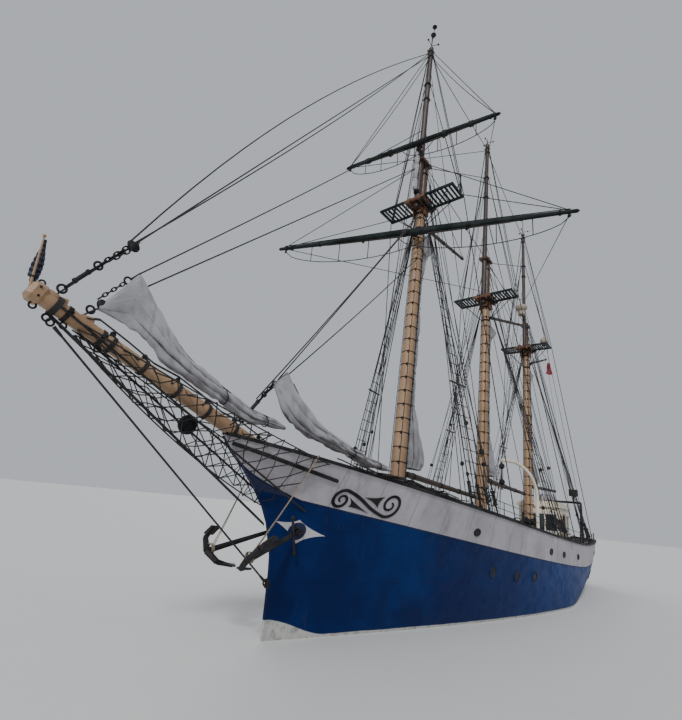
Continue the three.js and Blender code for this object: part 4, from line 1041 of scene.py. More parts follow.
def make_ornaments():
    """Painted eye and scroll on each bow."""
    x, z = SCROLL_START
    path = [(x - s, z + t) for s, t in scroll_path()]
    for side in SIDES:
        word = word_for(side)
        eye = flat_on_skin(f"{word}_eye", concave_star(list(EYE_POINTS), 0.62), side, 0.006, EYE_CENTRE)
        dressed(eye, "white", "band_white")
        disc = [(EYE_DISC * math.cos(t * math.pi / 16), EYE_DISC * math.sin(t * math.pi / 16))
                for t in range(32)]
        pupil = flat_on_skin(f"{word}_pupil", disc, side, 0.016, EYE_CENTRE)
        dressed(pupil, "pupil", "hull_blue")
        pieces = [ribbon_on_skin("scroll", path, side, 0.076, 0.014)]
        for leaf in SCROLL_LEAVES:
            s, t = sum(p[0] for p in leaf) / 3, sum(p[1] for p in leaf) / 3
            outline = [(s - a, b - t) for a, b in concave_star(list(leaf), 0.42)]
            pieces.append(flat_on_skin("leaf", outline, side, 0.014, (x - s, z + t)))
        built(f"{word}_scroll", pieces, "black", "rail_black")


# Masts and spars
def make_spars():
    """Paint on masts, spars and crosstrees, with their hoops, bands, trestles and ironwork."""
    refined("bowsprit", "buff")
    for mast in MASTS:
        refined(f"{mast}_lower_mast", mast)
        refined(f"{mast}_topmast", "topmast")
        refined(f"{mast}_crosstree", "green")
        make_hoops(mast)
        make_trestles(mast)
        make_truck(mast)
    for yard in YARDS:
        refined(yard, "green")
        make_yard_bands(yard)
    for spar in SPARS:
        refined(spar, "spar")


def make_hoops(mast):
    """Iron hoops with cleats up the lower mast, wider bands where gear hangs, and the mast coat."""
    m, axis = MASTS[mast], mast_step(mast, 1)
    hoops, z = [], deck_height(mast_x(mast, 3)) + 1.7
    while z < m["crosstree"] - 0.6:
        r = mast_radius(mast, z)
        hoops.append(ring("hoop", mast_point(mast, z), axis, r + 0.008, 0.013, 28, 6))
        for angle in (0.5, 2.2):
            at = mast_point(mast, z) + spoke(angle) * (r + 0.03)
            hoops.append(box("cleat", at - vec(0.025, 0.025, 0.04), at + vec(0.025, 0.025, 0.04), 0.008))
        z += 0.52
    for z in (m["crosstree"] - 1.3, m["crosstree"] - 0.5, m["masthead"] - 0.8, m["masthead"] - 0.3):
        r = mast_radius(mast, z)
        hoops.append(collar("band", mast_point(mast, z), mast_step(mast, 0.045), r + 0.014, 28))
    built(f"{mast}_mast_hoops", hoops)
    low = deck_height(mast_x(mast, 3))
    r = mast_radius(mast, low)
    coat = rod("coat", mast_point(mast, low - 0.02), mast_point(mast, low + 0.26), r + 0.17, r + 0.02, 28)
    dressed(bevelled(coat, 0.02), "white", "band_white")
    coat.name = f"{mast}_mast_coat"


def make_trestles(mast):
    """Brown timbers that carry the crosstree, its iron braces and the fore top's outrigger."""
    m = MASTS[mast]
    z, x, r = m["crosstree"], mast_x(mast, m["crosstree"]), mast_radius(mast, m["crosstree"])
    timbers = []
    for side in SIDES:
        y = side * (r + 0.075)
        timbers.append(box("trestle", (x - 0.5, y - 0.06, z - 0.2), (x + 0.72, y + 0.06, z - 0.004), 0.018))
        timbers.append(box("cheek", (x - 0.16, y - 0.05, z - 0.62), (x + 0.2, y + 0.03, z - 0.18), 0.03))
    for ahead in (-0.42, r + 0.1, 0.62):
        middle = x + ahead
        timbers.append(box("beam", (middle - 0.06, -0.5, z - 0.12), (middle + 0.06, 0.5, z - 0.006), 0.016))
    for side in SIDES:
        y = side * (r + 0.1)
        timbers.append(box("chock", (x - 0.3, y - 0.05, z + 0.092), (x + 0.5, y + 0.05, z + 0.2), 0.02))
    built(f"{mast}_trestles", timbers, "timber", "spar_dark")
    braces = []
    for side in SIDES:
        low = mast_point(mast, z - 1.25, 0, side * mast_radius(mast, z - 1.25))
        for lean in (-0.3, 0.4):
            braces.append(rod("brace", low, vec(x + lean, side * m["half"] * 0.82, z), 0.019, sides=8))
        braces.append(ring("eye", low, X_AXIS, 0.05, 0.016, 14, 6))
    if mast == "fore":
        end = vec(x - 0.3, m["half"] - 0.06, z + 0.05)
        top = end + vec(-0.15, -0.12, 1.15)
        braces.append(rod("outrigger", end, top, 0.034, 0.026, 10))
        braces.append(rod("outrigger", end + X_AXIS * 0.45, end.lerp(top, 0.62), 0.022, sides=8))
        braces.append(ball("sheave", top, 0.07, (1, 0.6, 1.3), 12))
    built(f"{mast}_crosstree_braces", braces)


def make_truck(mast):
    """Bands, eyes and small arms at the topmast's head."""
    m = MASTS[mast]
    parts = []
    for z in (m["truck"] - 0.25, m["truck"] - 0.6, m["truck"] - 2.6, (m["masthead"] + m["truck"]) / 2):
        r = m["top"] * (0.8 if z > m["truck"] - 1 else 0.95)
        parts.append(collar("band", topmast_point(mast, z), mast_step(mast, 0.04), r + 0.016, 20))
        for k in range(4):
            out = spoke(k * math.pi / 2 + 0.6)
            at = topmast_point(mast, z) + out * (r + 0.04)
            parts.append(ring("eye", at, UP.cross(out), 0.035, 0.011, 12, 6))
    top = topmast_point(mast, m["truck"] + 0.25)
    for k in range(3):
        out = spoke(2.1 * k, 0.25)
        parts.append(rod("arm", top, top + out * 0.32, 0.014, sides=8))
        parts.append(ball("lamp", top + out * 0.34, 0.05, (1, 1, 1.2), 10))
    if mast == "fore":
        low, high = topmast_point(mast, m["truck"] + 0.3), topmast_point(mast, FORE_POLE - 0.05, 0.12)
        parts.append(rod("staff", low, high + vec(0.1, 0.05, 0.25), 0.016, sides=8))
        for share, size in ((0.55, 0.15), (0.97, 0.13)):
            at = low.lerp(high + vec(0.1, 0.05, 0.25), share)
            parts.append(ring("basket", at, UP, size * 0.8, 0.02, 18, 6))
            for k in range(6):
                out = spoke(k) * size * 0.8
                parts.append(rod("rib", at + out, at - UP * size * 1.5, 0.012, sides=6))
                parts.append(rod("rib", at + out, at + UP * size * 1.2, 0.012, sides=6))
            parts.append(ball("core", at, size * 0.62, (1, 1, 1.3), 12))
    built(f"{mast}_truck_ironwork", parts)


def make_yard_bands(yard):
    """Iron bands, the truss yoke, reddish chafing battens under the yard and its slim ends."""
    y = YARDS[yard]
    arm = yard_frame(yard)[1]
    bands, battens = [], []
    for share in (-0.95, -0.9, -0.68, -0.36, -0.06, 0.06, 0.36, 0.68, 0.9, 0.95):
        centre = yard_point(yard, share * y["half"])
        lump = 0.035 if yard == "upper_yard" and 0.1 < abs(share) < 0.7 else 0.014
        r = y["mid"] * (1.0 - 0.42 * abs(share)) + lump
        width = 0.09 if abs(share) < 0.5 or lump > 0.02 else 0.04
        bands.append(collar("band", centre, arm * width, r, 20))
    for side in SIDES:
        ends = [yard_point(yard, side * along) for along in (y["half"] * 0.93, y["half"] + 0.05)]
        bands.append(rod("tip", *ends, 0.045, 0.035, 14))
        inner, outer = 0.6 * side, side * y["half"] * 0.62
        low = [yard_point(yard, a, -y["mid"] * 0.93) for a in (inner, outer)]
        battens.append(rod("batten", low[0], low[1] + UP * y["mid"] * 0.2, 0.045, 0.03, 8))
    built(f"{yard}_bands", bands, body=yard)
    built(f"{yard}_battens", battens, "spar", "yard_green", yard)


# Rigging
LADDER_BATTEN = 7.5


def make_standing_rigging():
    """Wire shrouds and stays, ratlines, turnbuckles and futtocks."""
    names = [f"{m}_shrouds_{w}" for m in MASTS for w in ("port", "starboard")]
    for node in [*names, "forestay", "jib_stay", "outer_stay", "bowsprit_stays"]:
        refined(node, "rope")
    spacing = bpy.context.scene.schooner_rig.ratline_spacing
    make_mast_lines()
    for mast, m in MASTS.items():
        rungs, poles, screws, futtocks, battens = [], [], [], [], []
        for side in SIDES:
            shrouds = [shroud_line(mast, side, back) for back in SHROUD_FEET[mast]]
            low, high = shrouds[-1][1].z + 0.75, m["crosstree"] - HOUND_DROP - 0.7
            for i in range(int((high - low) / spacing) + 1):
                z = low + i * spacing
                crossed = [h.lerp(f, (h.z - z) / (h.z - f.z)) for h, f in shrouds[:3]]
                if abs(z - LADDER_BATTEN) < spacing / 2:
                    reach = (crossed[2] - crossed[0]).normalized() * 0.12
                    battens.append(rod("batten", crossed[0] - reach, crossed[2] + reach, 0.034, sides=8))
                else:
                    sags = [(one + other) / 2 - UP * 0.025 for one, other in zip(crossed, crossed[1:])]
                    rungs.append([crossed[0], sags[0], crossed[1], sags[1], crossed[2]])
            pole = [h.lerp(f, (h.z - low + 0.2) / (h.z - f.z)) for h, f in shrouds]
            poles.append([pole[0] + X_AXIS * 0.12, *pole, pole[-1] - X_AXIS * 0.12])
            for head, foot in shrouds:
                way = (head - foot).normalized()
                screws.append(stood(foot + way * 0.05, way, 1.7))
            # Clear of the fore mast's yards when these swing round
            leans = (-0.39, -0.34, -0.29) if mast == "fore" else (-0.28, 0.0, 0.3)
            for lean, top_z in zip(leans, (m["truck"] - 0.5, m["truck"] - 2.6, m["truck"] - 2.6)):
                rim = mast_point(mast, m["crosstree"], lean, side * (m["half"] - 0.05))
                futtocks.append([rim, topmast_point(mast, top_z, side * 0.12)])
        rigged(f"{mast}_ratlines", rungs, 0.014)
        built(f"{mast}_ladder_battens", battens, "spar", "spar_dark")
        dressed(lines(f"{mast}_sheer_poles", poles, 0.022), "iron", "dark_steel", angle=ROUND_ANGLE)
        rigged(f"{mast}_topmast_shrouds", futtocks, 0.0165)
        dressed(copies(f"{mast}_turnbuckles", turnbuckle(), screws), "iron", "dark_steel")


def turnbuckle():
    """A rigging screw 0.5 m long, its foot at the origin."""
    body = post("body", UP * 0.14, 0.24, 0.032, sides=10)
    screw = post("screw", Vector(), 0.52, 0.014, sides=8)
    nuts = [post("nut", UP * z, 0.04, 0.04, sides=6) for z in (0.12, 0.36)]
    eyes = [ring("eye", UP * z, Y_AXIS, 0.032, 0.013, 12, 6) for z in (0.0, 0.53)]
    return joined("turnbuckle", [body, screw, *nuts, *eyes])


def chain_link():
    """A link that stands along Z, its middle at the origin."""
    link = ring("link", Vector(), Y_AXIS, 0.05, 0.019, 14, 6)
    link.data.transform(Matrix.Diagonal((0.75, 1, 1.4, 1)))
    return link


def link_turn(i):
    """Every second link of a chain is turned by a quarter."""
    return (i % 2) * math.pi / 2


def pulley():
    """A wooden block with its strap, its middle at the origin and its eye at +Z."""
    shell = ball("shell", Vector(), 0.11, (0.62, 1, 1.25), 14)
    strap = ring("strap", Vector(), X_AXIS, 0.1232, 0.012, 18, 6)
    eye = ring("eye", UP * 0.165, Y_AXIS, 0.03, 0.012, 10, 6)
    return joined("pulley", [shell, strap, eye])


def make_stays():
    """Stays between the masts and beside the headstays."""
    stays = []
    for one, other in (("fore", "main"), ("main", "mizzen")):
        a, b = MASTS[one], MASTS[other]
        heads = topmast_point(one, a["truck"] - 0.4), topmast_point(other, b["truck"] - 0.3)
        stays.append(sagging(*heads, 0.1))
        stays.append([mast_point(one, a["masthead"] - 0.2), topmast_point(other, b["masthead"] - 0.1)])
        stays.append([mast_point(one, a["masthead"] - 0.3), topmast_point(other, b["truck"] - 2.6)])
    fore = MASTS["fore"]
    low, high = HEAD_BLOCK + vec(0, -0.02, 0.1), topmast_point("fore", fore["truck"] - 0.15, 0.12)
    stays.append(sagging(low, high, 0.35, 16))
    low, high = HEAD_BLOCK + vec(0.05, -0.22, 0.13), topmast_point("fore", fore["truck"] - 0.2, -0.14)
    blown = vec(0.66, -0.5, 0.1)
    stays.append([low.lerp(high, i / 16) + blown * 4 * (i / 16) * (1 - i / 16) for i in range(17)])
    stays.append(sagging(vec(14.3, 0.07, 5.4), mast_point("fore", 15.45, 0.2, 0.12), 0.1, 14))
    stays.append(sagging(vec(14.0, -0.07, 5.55), mast_point("fore", 13.0, 0.21, 0.1), 0.1, 14))
    stays.append(sagging(JIB_HEAD, topmast_point("fore", 20.1, -0.14), 0.12, 14))
    rigged("mast_stays", stays, 0.018)


def make_mast_lines():
    """Halyards and lifts that come down from the mastheads to the pin rails and the mast's foot."""
    rng = random.Random(5)
    for mast, m in MASTS.items():
        falls, blocks = [], []
        base = mast_x(mast, 3)
        # Those of the fore mast stay aft of it, clear of the yards
        ahead, first, step = (-0.15, -0.05, 0.13) if mast == "fore" else (0.1, 0.75, 0.19)
        for k in range(16):
            side = 1 if k % 2 else -1
            z = m["crosstree"] - 0.5 + rng.uniform(0, 2.2)
            if k > 9:
                z = rng.uniform(m["masthead"], m["truck"] - 0.6)
            low = z < m["masthead"]
            head = mast_point(mast, z, ahead, side * 0.22) if low else topmast_point(mast, z, side * 0.13)
            foot_x = base + first - step * k
            foot = inside_point(foot_x, rail_height(foot_x) - 0.2, side, 0.17)
            falls.append(sagging(head, foot, 0.03, 4))
            if k % 3 == 0:
                blocks.append(stood(head.lerp(foot, rng.uniform(0.72, 0.9)), head - foot, 0.6))
        for k in range(6):
            angle = math.pi * (0.2 + 0.32 * k)
            out = spoke(angle)
            z = deck_height(base) + 1.0
            head = mast_point(mast, m["crosstree"] - 0.35) + out * (mast_radius(mast, m["crosstree"]) + 0.05)
            falls.append([head, mast_point(mast, z) + out * (mast_radius(mast, z) + 0.07)])
        rigged(f"{mast}_halyards", falls, 0.013)
        dressed(copies(f"{mast}_halyard_blocks", pulley(), blocks), "iron", "spar_dark")


def stay_gear(foot, head, parts):
    """Ring, rigging screw, chain and block along the lower end of a stay, at distances from its foot."""
    way = (head - foot).normalized()
    links, blocks, screws, rings = [], [], [], []
    for kind, start, end in parts:
        if kind == "chain":
            count = int((end - start) / 0.115)
            for i in range(count + 1):
                links.append(stood(foot + way * (start + 0.115 * i), way, 1.0, link_turn(i)))
        elif kind == "block":
            blocks.append(stood(foot + way * start, way, end))
        elif kind == "screw":
            screws.append(stood(foot + way * start, way, end))
        else:
            rings.append(ring("ring", foot + way * start, Y_AXIS, end, 0.022, 18, 8))
    return links, blocks, screws, rings


JIB_HEAD = Vector((17.7, 0, 7.2))
HEAD_BLOCK = Vector((18.0, 0.12, 7.62))
HEAD_LEAN = Vector((-0.5, 0, 0.85))
JIB_TACK = Vector((18.34, 0, 6.33))
BOBSTAY_X = 19.08
BOBSTAY_Z = 1.2
STAFF_FOOT = Vector((19.4, 0, 6.1))
STAFF_HEAD = Vector((19.44, 0, 7.08))


def headstay_gear():
    """Chain, blocks and screws of the headstays and of the outer jib's tackle; gives their rings."""
    stays = {"forestay": (14.75, mast_point("fore", 15.5)), "jib_stay": (18.62, topmast_point("fore", 17.9)),
             "outer_stay": (19.1, topmast_point("fore", 25.2))}
    gear = {
        "forestay": (("ring", 0.3, 0.06), ("screw", 0.4, 1.5), ("ring", 1.25, 0.06), ("chain", 1.35, 1.7)),
        "jib_stay": (("ring", 0.32, 0.07), ("block", 0.56, 0.75), ("chain", 0.75, 1.2), ("ring", 1.3, 0.085)),
        "outer_stay": (("ring", 0.3, 0.075), ("screw", 0.4, 1.3), ("ring", 1.13, 0.075), ("chain", 1.25, 1.9),
                       ("block", 2.0, 0.7)),
    }
    links, blocks, screws, iron = [], [], [], []
    for name, (x, head) in stays.items():
        foot = bowsprit_point(x) + UP * 0.05
        for kept, made in zip((links, blocks, screws, iron), stay_gear(foot, head, gear[name])):
            kept.extend(made)
    blocks.append(stood(HEAD_BLOCK, HEAD_LEAN, 0.85))
    # Chain from the tack block up the luff of the outer jib, and the ring that it ends in
    luff = JIB_HEAD - JIB_TACK
    up = luff.normalized()
    for i in range(6):
        links.append(stood(JIB_TACK + up * (0.08 + 0.105 * i), luff, 0.85, link_turn(i)))
    iron += [ring("ring", JIB_TACK + up * 0.75, Y_AXIS, 0.075, 0.021, 18, 8),
             rod("rope", JIB_TACK + up * 0.81, JIB_HEAD, 0.02)]
    for i in range(5):
        at = vec(18.3 - 0.07 * i, 0.03 + 0.02 * i, 7.2 + 0.09 * i)
        links.append(stood(at, HEAD_LEAN, 1.0, link_turn(i)))
    dressed(copies("headstay_chain", chain_link(), links), "iron", "rail_black")
    dressed(copies("headstay_blocks", pulley(), blocks), "iron", "rail_black")
    dressed(copies("headstay_screws", turnbuckle(), screws), "iron", "rail_black")
    return iron


def bobstay_gear():
    """The bobstay's wire; gives its shackles and sockets and the plate on the stem."""
    knee = vec(level(FORE, BOBSTAY_Z) + 0.03, 0, BOBSTAY_Z)
    hook = bowsprit_point(BOBSTAY_X) - UP * 0.25
    way = (knee - hook).normalized()
    rigged("bobstay_wire", [[hook + way * 0.42, knee - way * 0.12]], 0.021)
    iron = [ring("shackle", hook + way * d, Y_AXIS, 0.06, 0.02, 18, 8) for d in (0.06, 0.16)]
    iron += [rod("socket", hook + way * 0.25, hook + way * 0.44, 0.035, 0.026, 12),
             rod("socket", knee - way * 0.3, knee - way * 0.1, 0.026, 0.035, 12),
             ring("shackle", knee - way * 0.05, Y_AXIS, 0.07, 0.022, 18, 8),
             box("plate", knee - vec(0.06, 0.05, 0.1), knee + vec(0.03, 0.05, 0.1), 0.02)]
    return iron


def bowsprit_bands():
    """Bands round the bowsprit, the outer two with eyes below them and at their sides."""
    iron = []
    for x in (12.9, 18.1, 18.75):
        r = bowsprit_radius(x)
        iron.append(collar("band", bowsprit_point(x), BOWSPRIT_AXIS * 0.04, r + 0.016, 32))
    for x in (18.75, 18.1):
        iron.append(ring("eye", bowsprit_point(x) - UP * 0.22, Y_AXIS, 0.055, 0.018, 18, 8))
        for side in SIDES:
            iron.append(ring("eye", bowsprit_point(x) + Y_AXIS * side * 0.2, UP, 0.045, 0.016, 18, 8))
    return iron


def make_bowsprit_gear():
    """Everything on the bowsprit and the diamond net under it."""
    built("bowsprit_ironwork", headstay_gear() + bobstay_gear() + bowsprit_bands())
    cleats = []
    for x in (18.9, 18.4):
        top = bowsprit_point(x) + UP * (bowsprit_radius(x) - 0.01)
        cleats.append(box("cleat", top - vec(0.11, 0.07, 0.05), top + vec(0.11, 0.07, 0.07), 0.02))
    built("bowsprit_chocks", cleats, "buff", "spar_buff")
    make_bowsprit_cap()
    make_net()


def make_bowsprit_cap():
    """Chamfered block at the bowsprit's end with its bolts and eyes, and the furled flag on its staff."""
    middle = BOWSPRIT_TIP + BOWSPRIT_AXIS * 0.03
    lean = BOWSPRIT_AXIS.to_track_quat("X", "Z").to_matrix().to_4x4()
    block = bevelled(box("cap", (-0.15, -0.165, -0.18), (0.15, 0.165, 0.18)), 0.075, 1)
    heel = box("cap", (-0.3, -0.1, 0.06), (-0.1, 0.1, 0.185), 0.03)
    for part in (block, heel):
        part.data.transform(Matrix.Translation(middle) @ lean)
    staff = rod("staff", STAFF_FOOT, STAFF_HEAD, 0.022, 0.015, 12)
    knob = ball("knob", STAFF_HEAD, 0.032, (1, 1, 1), 12)
    built("bowsprit_end", [block, heel, staff, knob], "buff", "spar_buff", replaces=["bowsprit_cap"])
    irons = []
    for side in SIDES:
        for up in (-0.08, 0.08):
            at = middle + vec(0, side * 0.165, up)
            irons.append(rod("bolt", at, at + Y_AXIS * side * 0.018, 0.022, sides=6))
    irons.append(ring("eye", middle + UP * 0.21 - X_AXIS * 0.03, Y_AXIS, 0.05, 0.017, 18, 8))
    irons.append(ring("eye", middle - UP * 0.22, Y_AXIS, 0.055, 0.018, 18, 8))
    irons.append(ring("clasp", vec(19.41, 0, 6.3), UP, 0.03, 0.012, 16, 6))
    built("bowsprit_end_ironwork", irons)
    flag = furled_flag()
    dressed(flag, "flag", "sailcloth", angle=60)


def furled_flag():
    """Small striped flag rolled down round its staff."""
    rng = random.Random(3)
    phase = [rng.uniform(0, 6.28) for _ in range(4)]

    def place(u, v):
        z = 7.03 - 0.66 * u
        width = 0.028 + 0.115 * math.sin(math.pi * min(u * 0.62 + 0.02, 1)) ** 1.3
        turn = 2 * math.pi * v
        fold = 1 - 0.55 * abs(math.sin(2.5 * turn + phase[0] + 2 * u)) ** 0.7
        drop = 0.14 * u * max(0.0, math.cos(turn + 2.6))
        x = 19.37 + 0.04 * (z - 6.4) + 0.7 * width * fold * math.cos(turn) - 0.02 * u
        y = width * fold * math.sin(turn) + 0.01 * math.sin(9 * u + phase[1]) - 0.03 - 0.21 * u
        return vec(x, y, z - drop)

    obj = bent_grid("furled_flag", 30, 60, place)
    return thickened(obj, 0.003)


NET_FORE = 18.5
NET_AFT = 12.7
NET_HEEL = Vector((13.62, 0, 2.95))
NET_CELLS = (13, 5)
BLACK_BALL = Vector((16.0, 0.06, 4.42))


def net_edge(a, side):
    """A point of the net's edge, from the bowsprit's end to the rail."""
    start = bowsprit_point(NET_FORE) + vec(0, side * 0.22, -0.06)
    end = inside_point(NET_AFT, rail_height(NET_AFT) - 0.05, side, -0.12)
    return start.lerp(end, a) - UP * 0.3 * a * (1 - a)


def net_point(a, b):
    low = (bowsprit_point(NET_FORE) - UP * 0.3).lerp(NET_HEEL, a) - UP * 0.9 * a * (1 - a)
    share = abs(2 * b - 1) ** 1.1
    return low.lerp(net_edge(a, 1 if b > 0.5 else -1), share)


def make_net():
    """Diamond net slung below the bowsprit, its lashings, hand lines and the black ball."""
    along, across = NET_CELLS
    rng = random.Random(8)
    jitter = {}

    def knot(i, j):
        if (i, j) not in jitter:
            loose = Vector([rng.uniform(-0.045, 0.045) for _ in range(3)])
            jitter[i, j] = net_point(min(max(i / along, 0.0), 1.0), j / (2 * across)) + loose
        return jitter[i, j]

    strands = []
    for start in range(-2 * across, along + 1):
        for flip in (False, True):
            route = []
            for j in range(2 * across + 1):
                i = start + j * 0.5
                if 0 <= i <= along:
                    route.append(knot(i, 2 * across - j if flip else j))
            if len(route) > 1:
                strands.append(route)
    rigged("bowsprit_net", strands, 0.0125, resolution=0)
    ropes = [[net_edge(i / 16, side) for i in range(17)] for side in SIDES]
    ropes.append([net_point(i / 16, 0.5) for i in range(17)])
    hand = [bowsprit_point(x) + UP * 0.27 - UP * 0.05 * math.sin(math.pi * (x - 13.0) * 1.1) for x in
            (18.2, 17.6, 17.0, 16.4, 15.8, 15.2, 14.6, 14.0, 13.4, 12.9)]
    hand = [bowsprit_point(18.45) + UP * 0.17, *hand, bowsprit_point(12.5) + UP * 0.2]
    ropes.append(hand)
    ropes.append([p + vec(0, 0.07, -0.04) for p in hand])
    lashings = []
    for x in (17.9, 17.2, 16.4, 15.6, 14.8, 14.0, 13.3):
        r = bowsprit_radius(x)
        for turn in (-0.03, 0.0, 0.03):
            p = bowsprit_point(x + turn)
            lashings.append(ring("turn", p, BOWSPRIT_AXIS, r + 0.012, 0.012, 26, 6))
        lashings.append(ball("knot", bowsprit_point(x) + UP * (r + 0.06), 0.055, (1.1, 0.9, 1.1), 10))
        a = (NET_FORE - x) / (NET_FORE - NET_AFT)
        for side in SIDES:
            top = bowsprit_point(x) + vec(0, side * 0.06, r + 0.03)
            for step in (-0.07, 0.07):
                flank = bowsprit_point(x - step * 3) + vec(0, side * (r + 0.012), 0.0)
                ropes.append([top, flank, net_edge(min(max(a + step, 0.0), 1.0), side)])
    rigged("bowsprit_ropes", ropes, 0.015)
    built("bowsprit_lashings", lashings, "rope", "rigging")
    shape = ball("black_ball", BLACK_BALL, 0.2, (1, 1, 1.05), 24)
    dressed(shape, "black", "rail_black", angle=60)


def make_yard_rigging():
    """Footropes and jackstays on the yards, and the lifts and braces that cross to the masts."""
    fore = MASTS["fore"]
    gear = {
        "lower_yard": (0.85, [mast_point("fore", z, ahead) for z, ahead in ((18.1, 0.2), (16.03, -0.3))],
                       topmast_point("mizzen", 17.4)),
        "upper_yard": (0.65, [topmast_point("fore", fore["truck"] - drop) for drop in (0.35, 0.75)],
                       topmast_point("main", MASTS["main"]["truck"] - 0.35)),
    }
    for yard, y in YARDS.items():
        drop, lifts, brace = gear[yard]
        routes, blocks = [], []
        for side in SIDES:
            inner, outer = -0.7 * side, side * y["half"] * 0.96
            rope = [yard_point(yard, inner + (outer - inner) * i / 20,
                               -0.1 - drop * (4 * (i / 20) * (1 - i / 20)) ** 0.6, -0.1) for i in range(21)]
            routes.append(rope)
            for i in (4, 8, 12, 16):
                routes.append([yard_point(yard, inner + (outer - inner) * i / 20, 0.08, -0.08), rope[i]])
            top, end = y["mid"] + 0.04, y["mid"] * 0.6 + 0.04
            routes.append([yard_point(yard, 0.3 * side, top), yard_point(yard, outer, end)])
            for share in (0.95, 0.35):
                blocks.append(stood(yard_point(yard, side * y["half"] * share, -0.17), UP, 0.55))
        rigged(f"{yard}_footropes", routes, 0.0175, body=yard)
        dressed(copies(f"{yard}_blocks", pulley(), blocks), "iron", "rail_black", yard)
        for side in SIDES:
            word = word_for(side)
            tip = yard_point(yard, side * y["half"] * 0.96, 0.05)
            for n, lift in enumerate(lifts):
                out = fore["half"] - 0.1 if yard == "lower_yard" and n else 0.14
                sag = 0.22 * n if yard == "upper_yard" else 0.0
                crossing(f"{yard}_{word}_lift_{n + 1}", lift + Y_AXIS * side * out, tip, 0.016, sag)
            crossing(f"{yard}_{word}_brace", brace + Y_AXIS * side * 0.12, tip - UP * 0.06, 0.016)


def crossing(name, fixed, moving, radius, sag=0.0):
    """A line from a fixed point to a point on a moving spar."""
    rope = lines(name, [sagging(fixed, moving, sag, 16)], radius)
    rope.data.materials.append(LOOKS["rope"])
    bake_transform(rope)


def make_spar_rigging():
    """Topping lifts, peak halyards and sheets of the booms and gaffs."""
    for spar, (mast, _, _, _, radius, _) in SPARS.items():
        m = MASTS[mast]
        pivot, end = spar_ends(spar)
        bands = []
        way = (end - pivot).normalized()
        for share in (0.1, 0.45, 0.72, 0.97):
            r = radius * (1.05 - 0.22 * share) + 0.012
            bands.append(collar("band", pivot.lerp(end, share), way * 0.035, r, 18))
        built(f"{spar}_bands", bands, body=spar)
        if spar.endswith("boom"):
            lift = mast_point(mast, m["crosstree"] - 0.4, -0.25)
            crossing(f"{spar}_lift", lift, end + UP * 0.1, 0.015)
            sheet_foot = vec(end.x + 0.5, 0, deck_height(end.x + 0.5) + 0.1)
            crossing(f"{spar}_sheet", sheet_foot, pivot.lerp(end, 0.9) - UP * 0.12, 0.012)
        else:
            peak, span = (mast_point(mast, m["masthead"] - drop, -0.25) for drop in (0.35, 0.6))
            crossing(f"{spar}_halyard", peak, end + UP * 0.08, 0.015)
            crossing(f"{spar}_span", span, pivot.lerp(end, 0.55) + UP * 0.08, 0.015)


# Sails
# Brailed sail: share of the way down, distance aft of the mast, half-breadth, half-length fore and aft
BRAILED = (
    (0.0, 0.42, 0.05, 0.34), (0.015, 0.58, 0.1, 0.6), (0.05, 0.5, 0.12, 0.52), (0.12, 0.27, 0.13, 0.27),
    (0.24, 0.17, 0.14, 0.17), (0.5, 0.18, 0.15, 0.18), (0.74, 0.2, 0.16, 0.2), (0.82, 0.3, 0.19, 0.3),
    (0.9, 0.52, 0.25, 0.52), (0.97, 0.68, 0.29, 0.7), (1.0, 0.66, 0.22, 0.62),
)
SAIL_ENDS = {"foresail": ("fore", 14.6, 4.64), "mainsail": ("main", 13.2, 5.2),
             "mizzen_sail": ("mizzen", 12.55, 5.52)}
BRAIL_SHARES = (0.1, 0.22, 0.36, 0.5, 0.64, 0.77)
GASKET_SHARES = (0.6, 0.86)
# Dropped jib: x, z, half-breadth, half-height
JIBS = {}
JIBS["outer_jib"] = (
    (18.28, 6.19, 0.05, 0.05), (18.0, 6.39, 0.09, 0.29), (17.7, 6.6, 0.1, 0.575), (17.34, 6.335, 0.12, 0.465),
    (16.85, 5.945, 0.15, 0.345), (16.3, 5.64, 0.19, 0.24), (15.74, 5.42, 0.21, 0.2), (15.1, 5.2, 0.22, 0.2),
    (14.35, 4.95, 0.2, 0.18), (13.7, 4.92, 0.15, 0.13), (13.18, 4.89, 0.05, 0.05),
)
JIBS["inner_jib"] = (
    (13.79, 5.94, 0.02, 0.03), (13.6, 5.91, 0.06, 0.23), (13.34, 5.87, 0.11, 0.54), (13.0, 5.58, 0.17, 0.5),
    (12.66, 5.31, 0.22, 0.43), (12.24, 5.1, 0.25, 0.29), (11.6, 4.94, 0.26, 0.21), (10.86, 4.79, 0.26, 0.18),
    (9.72, 4.55, 0.23, 0.15), (8.6, 4.46, 0.16, 0.11), (8.05, 4.42, 0.06, 0.05),
)


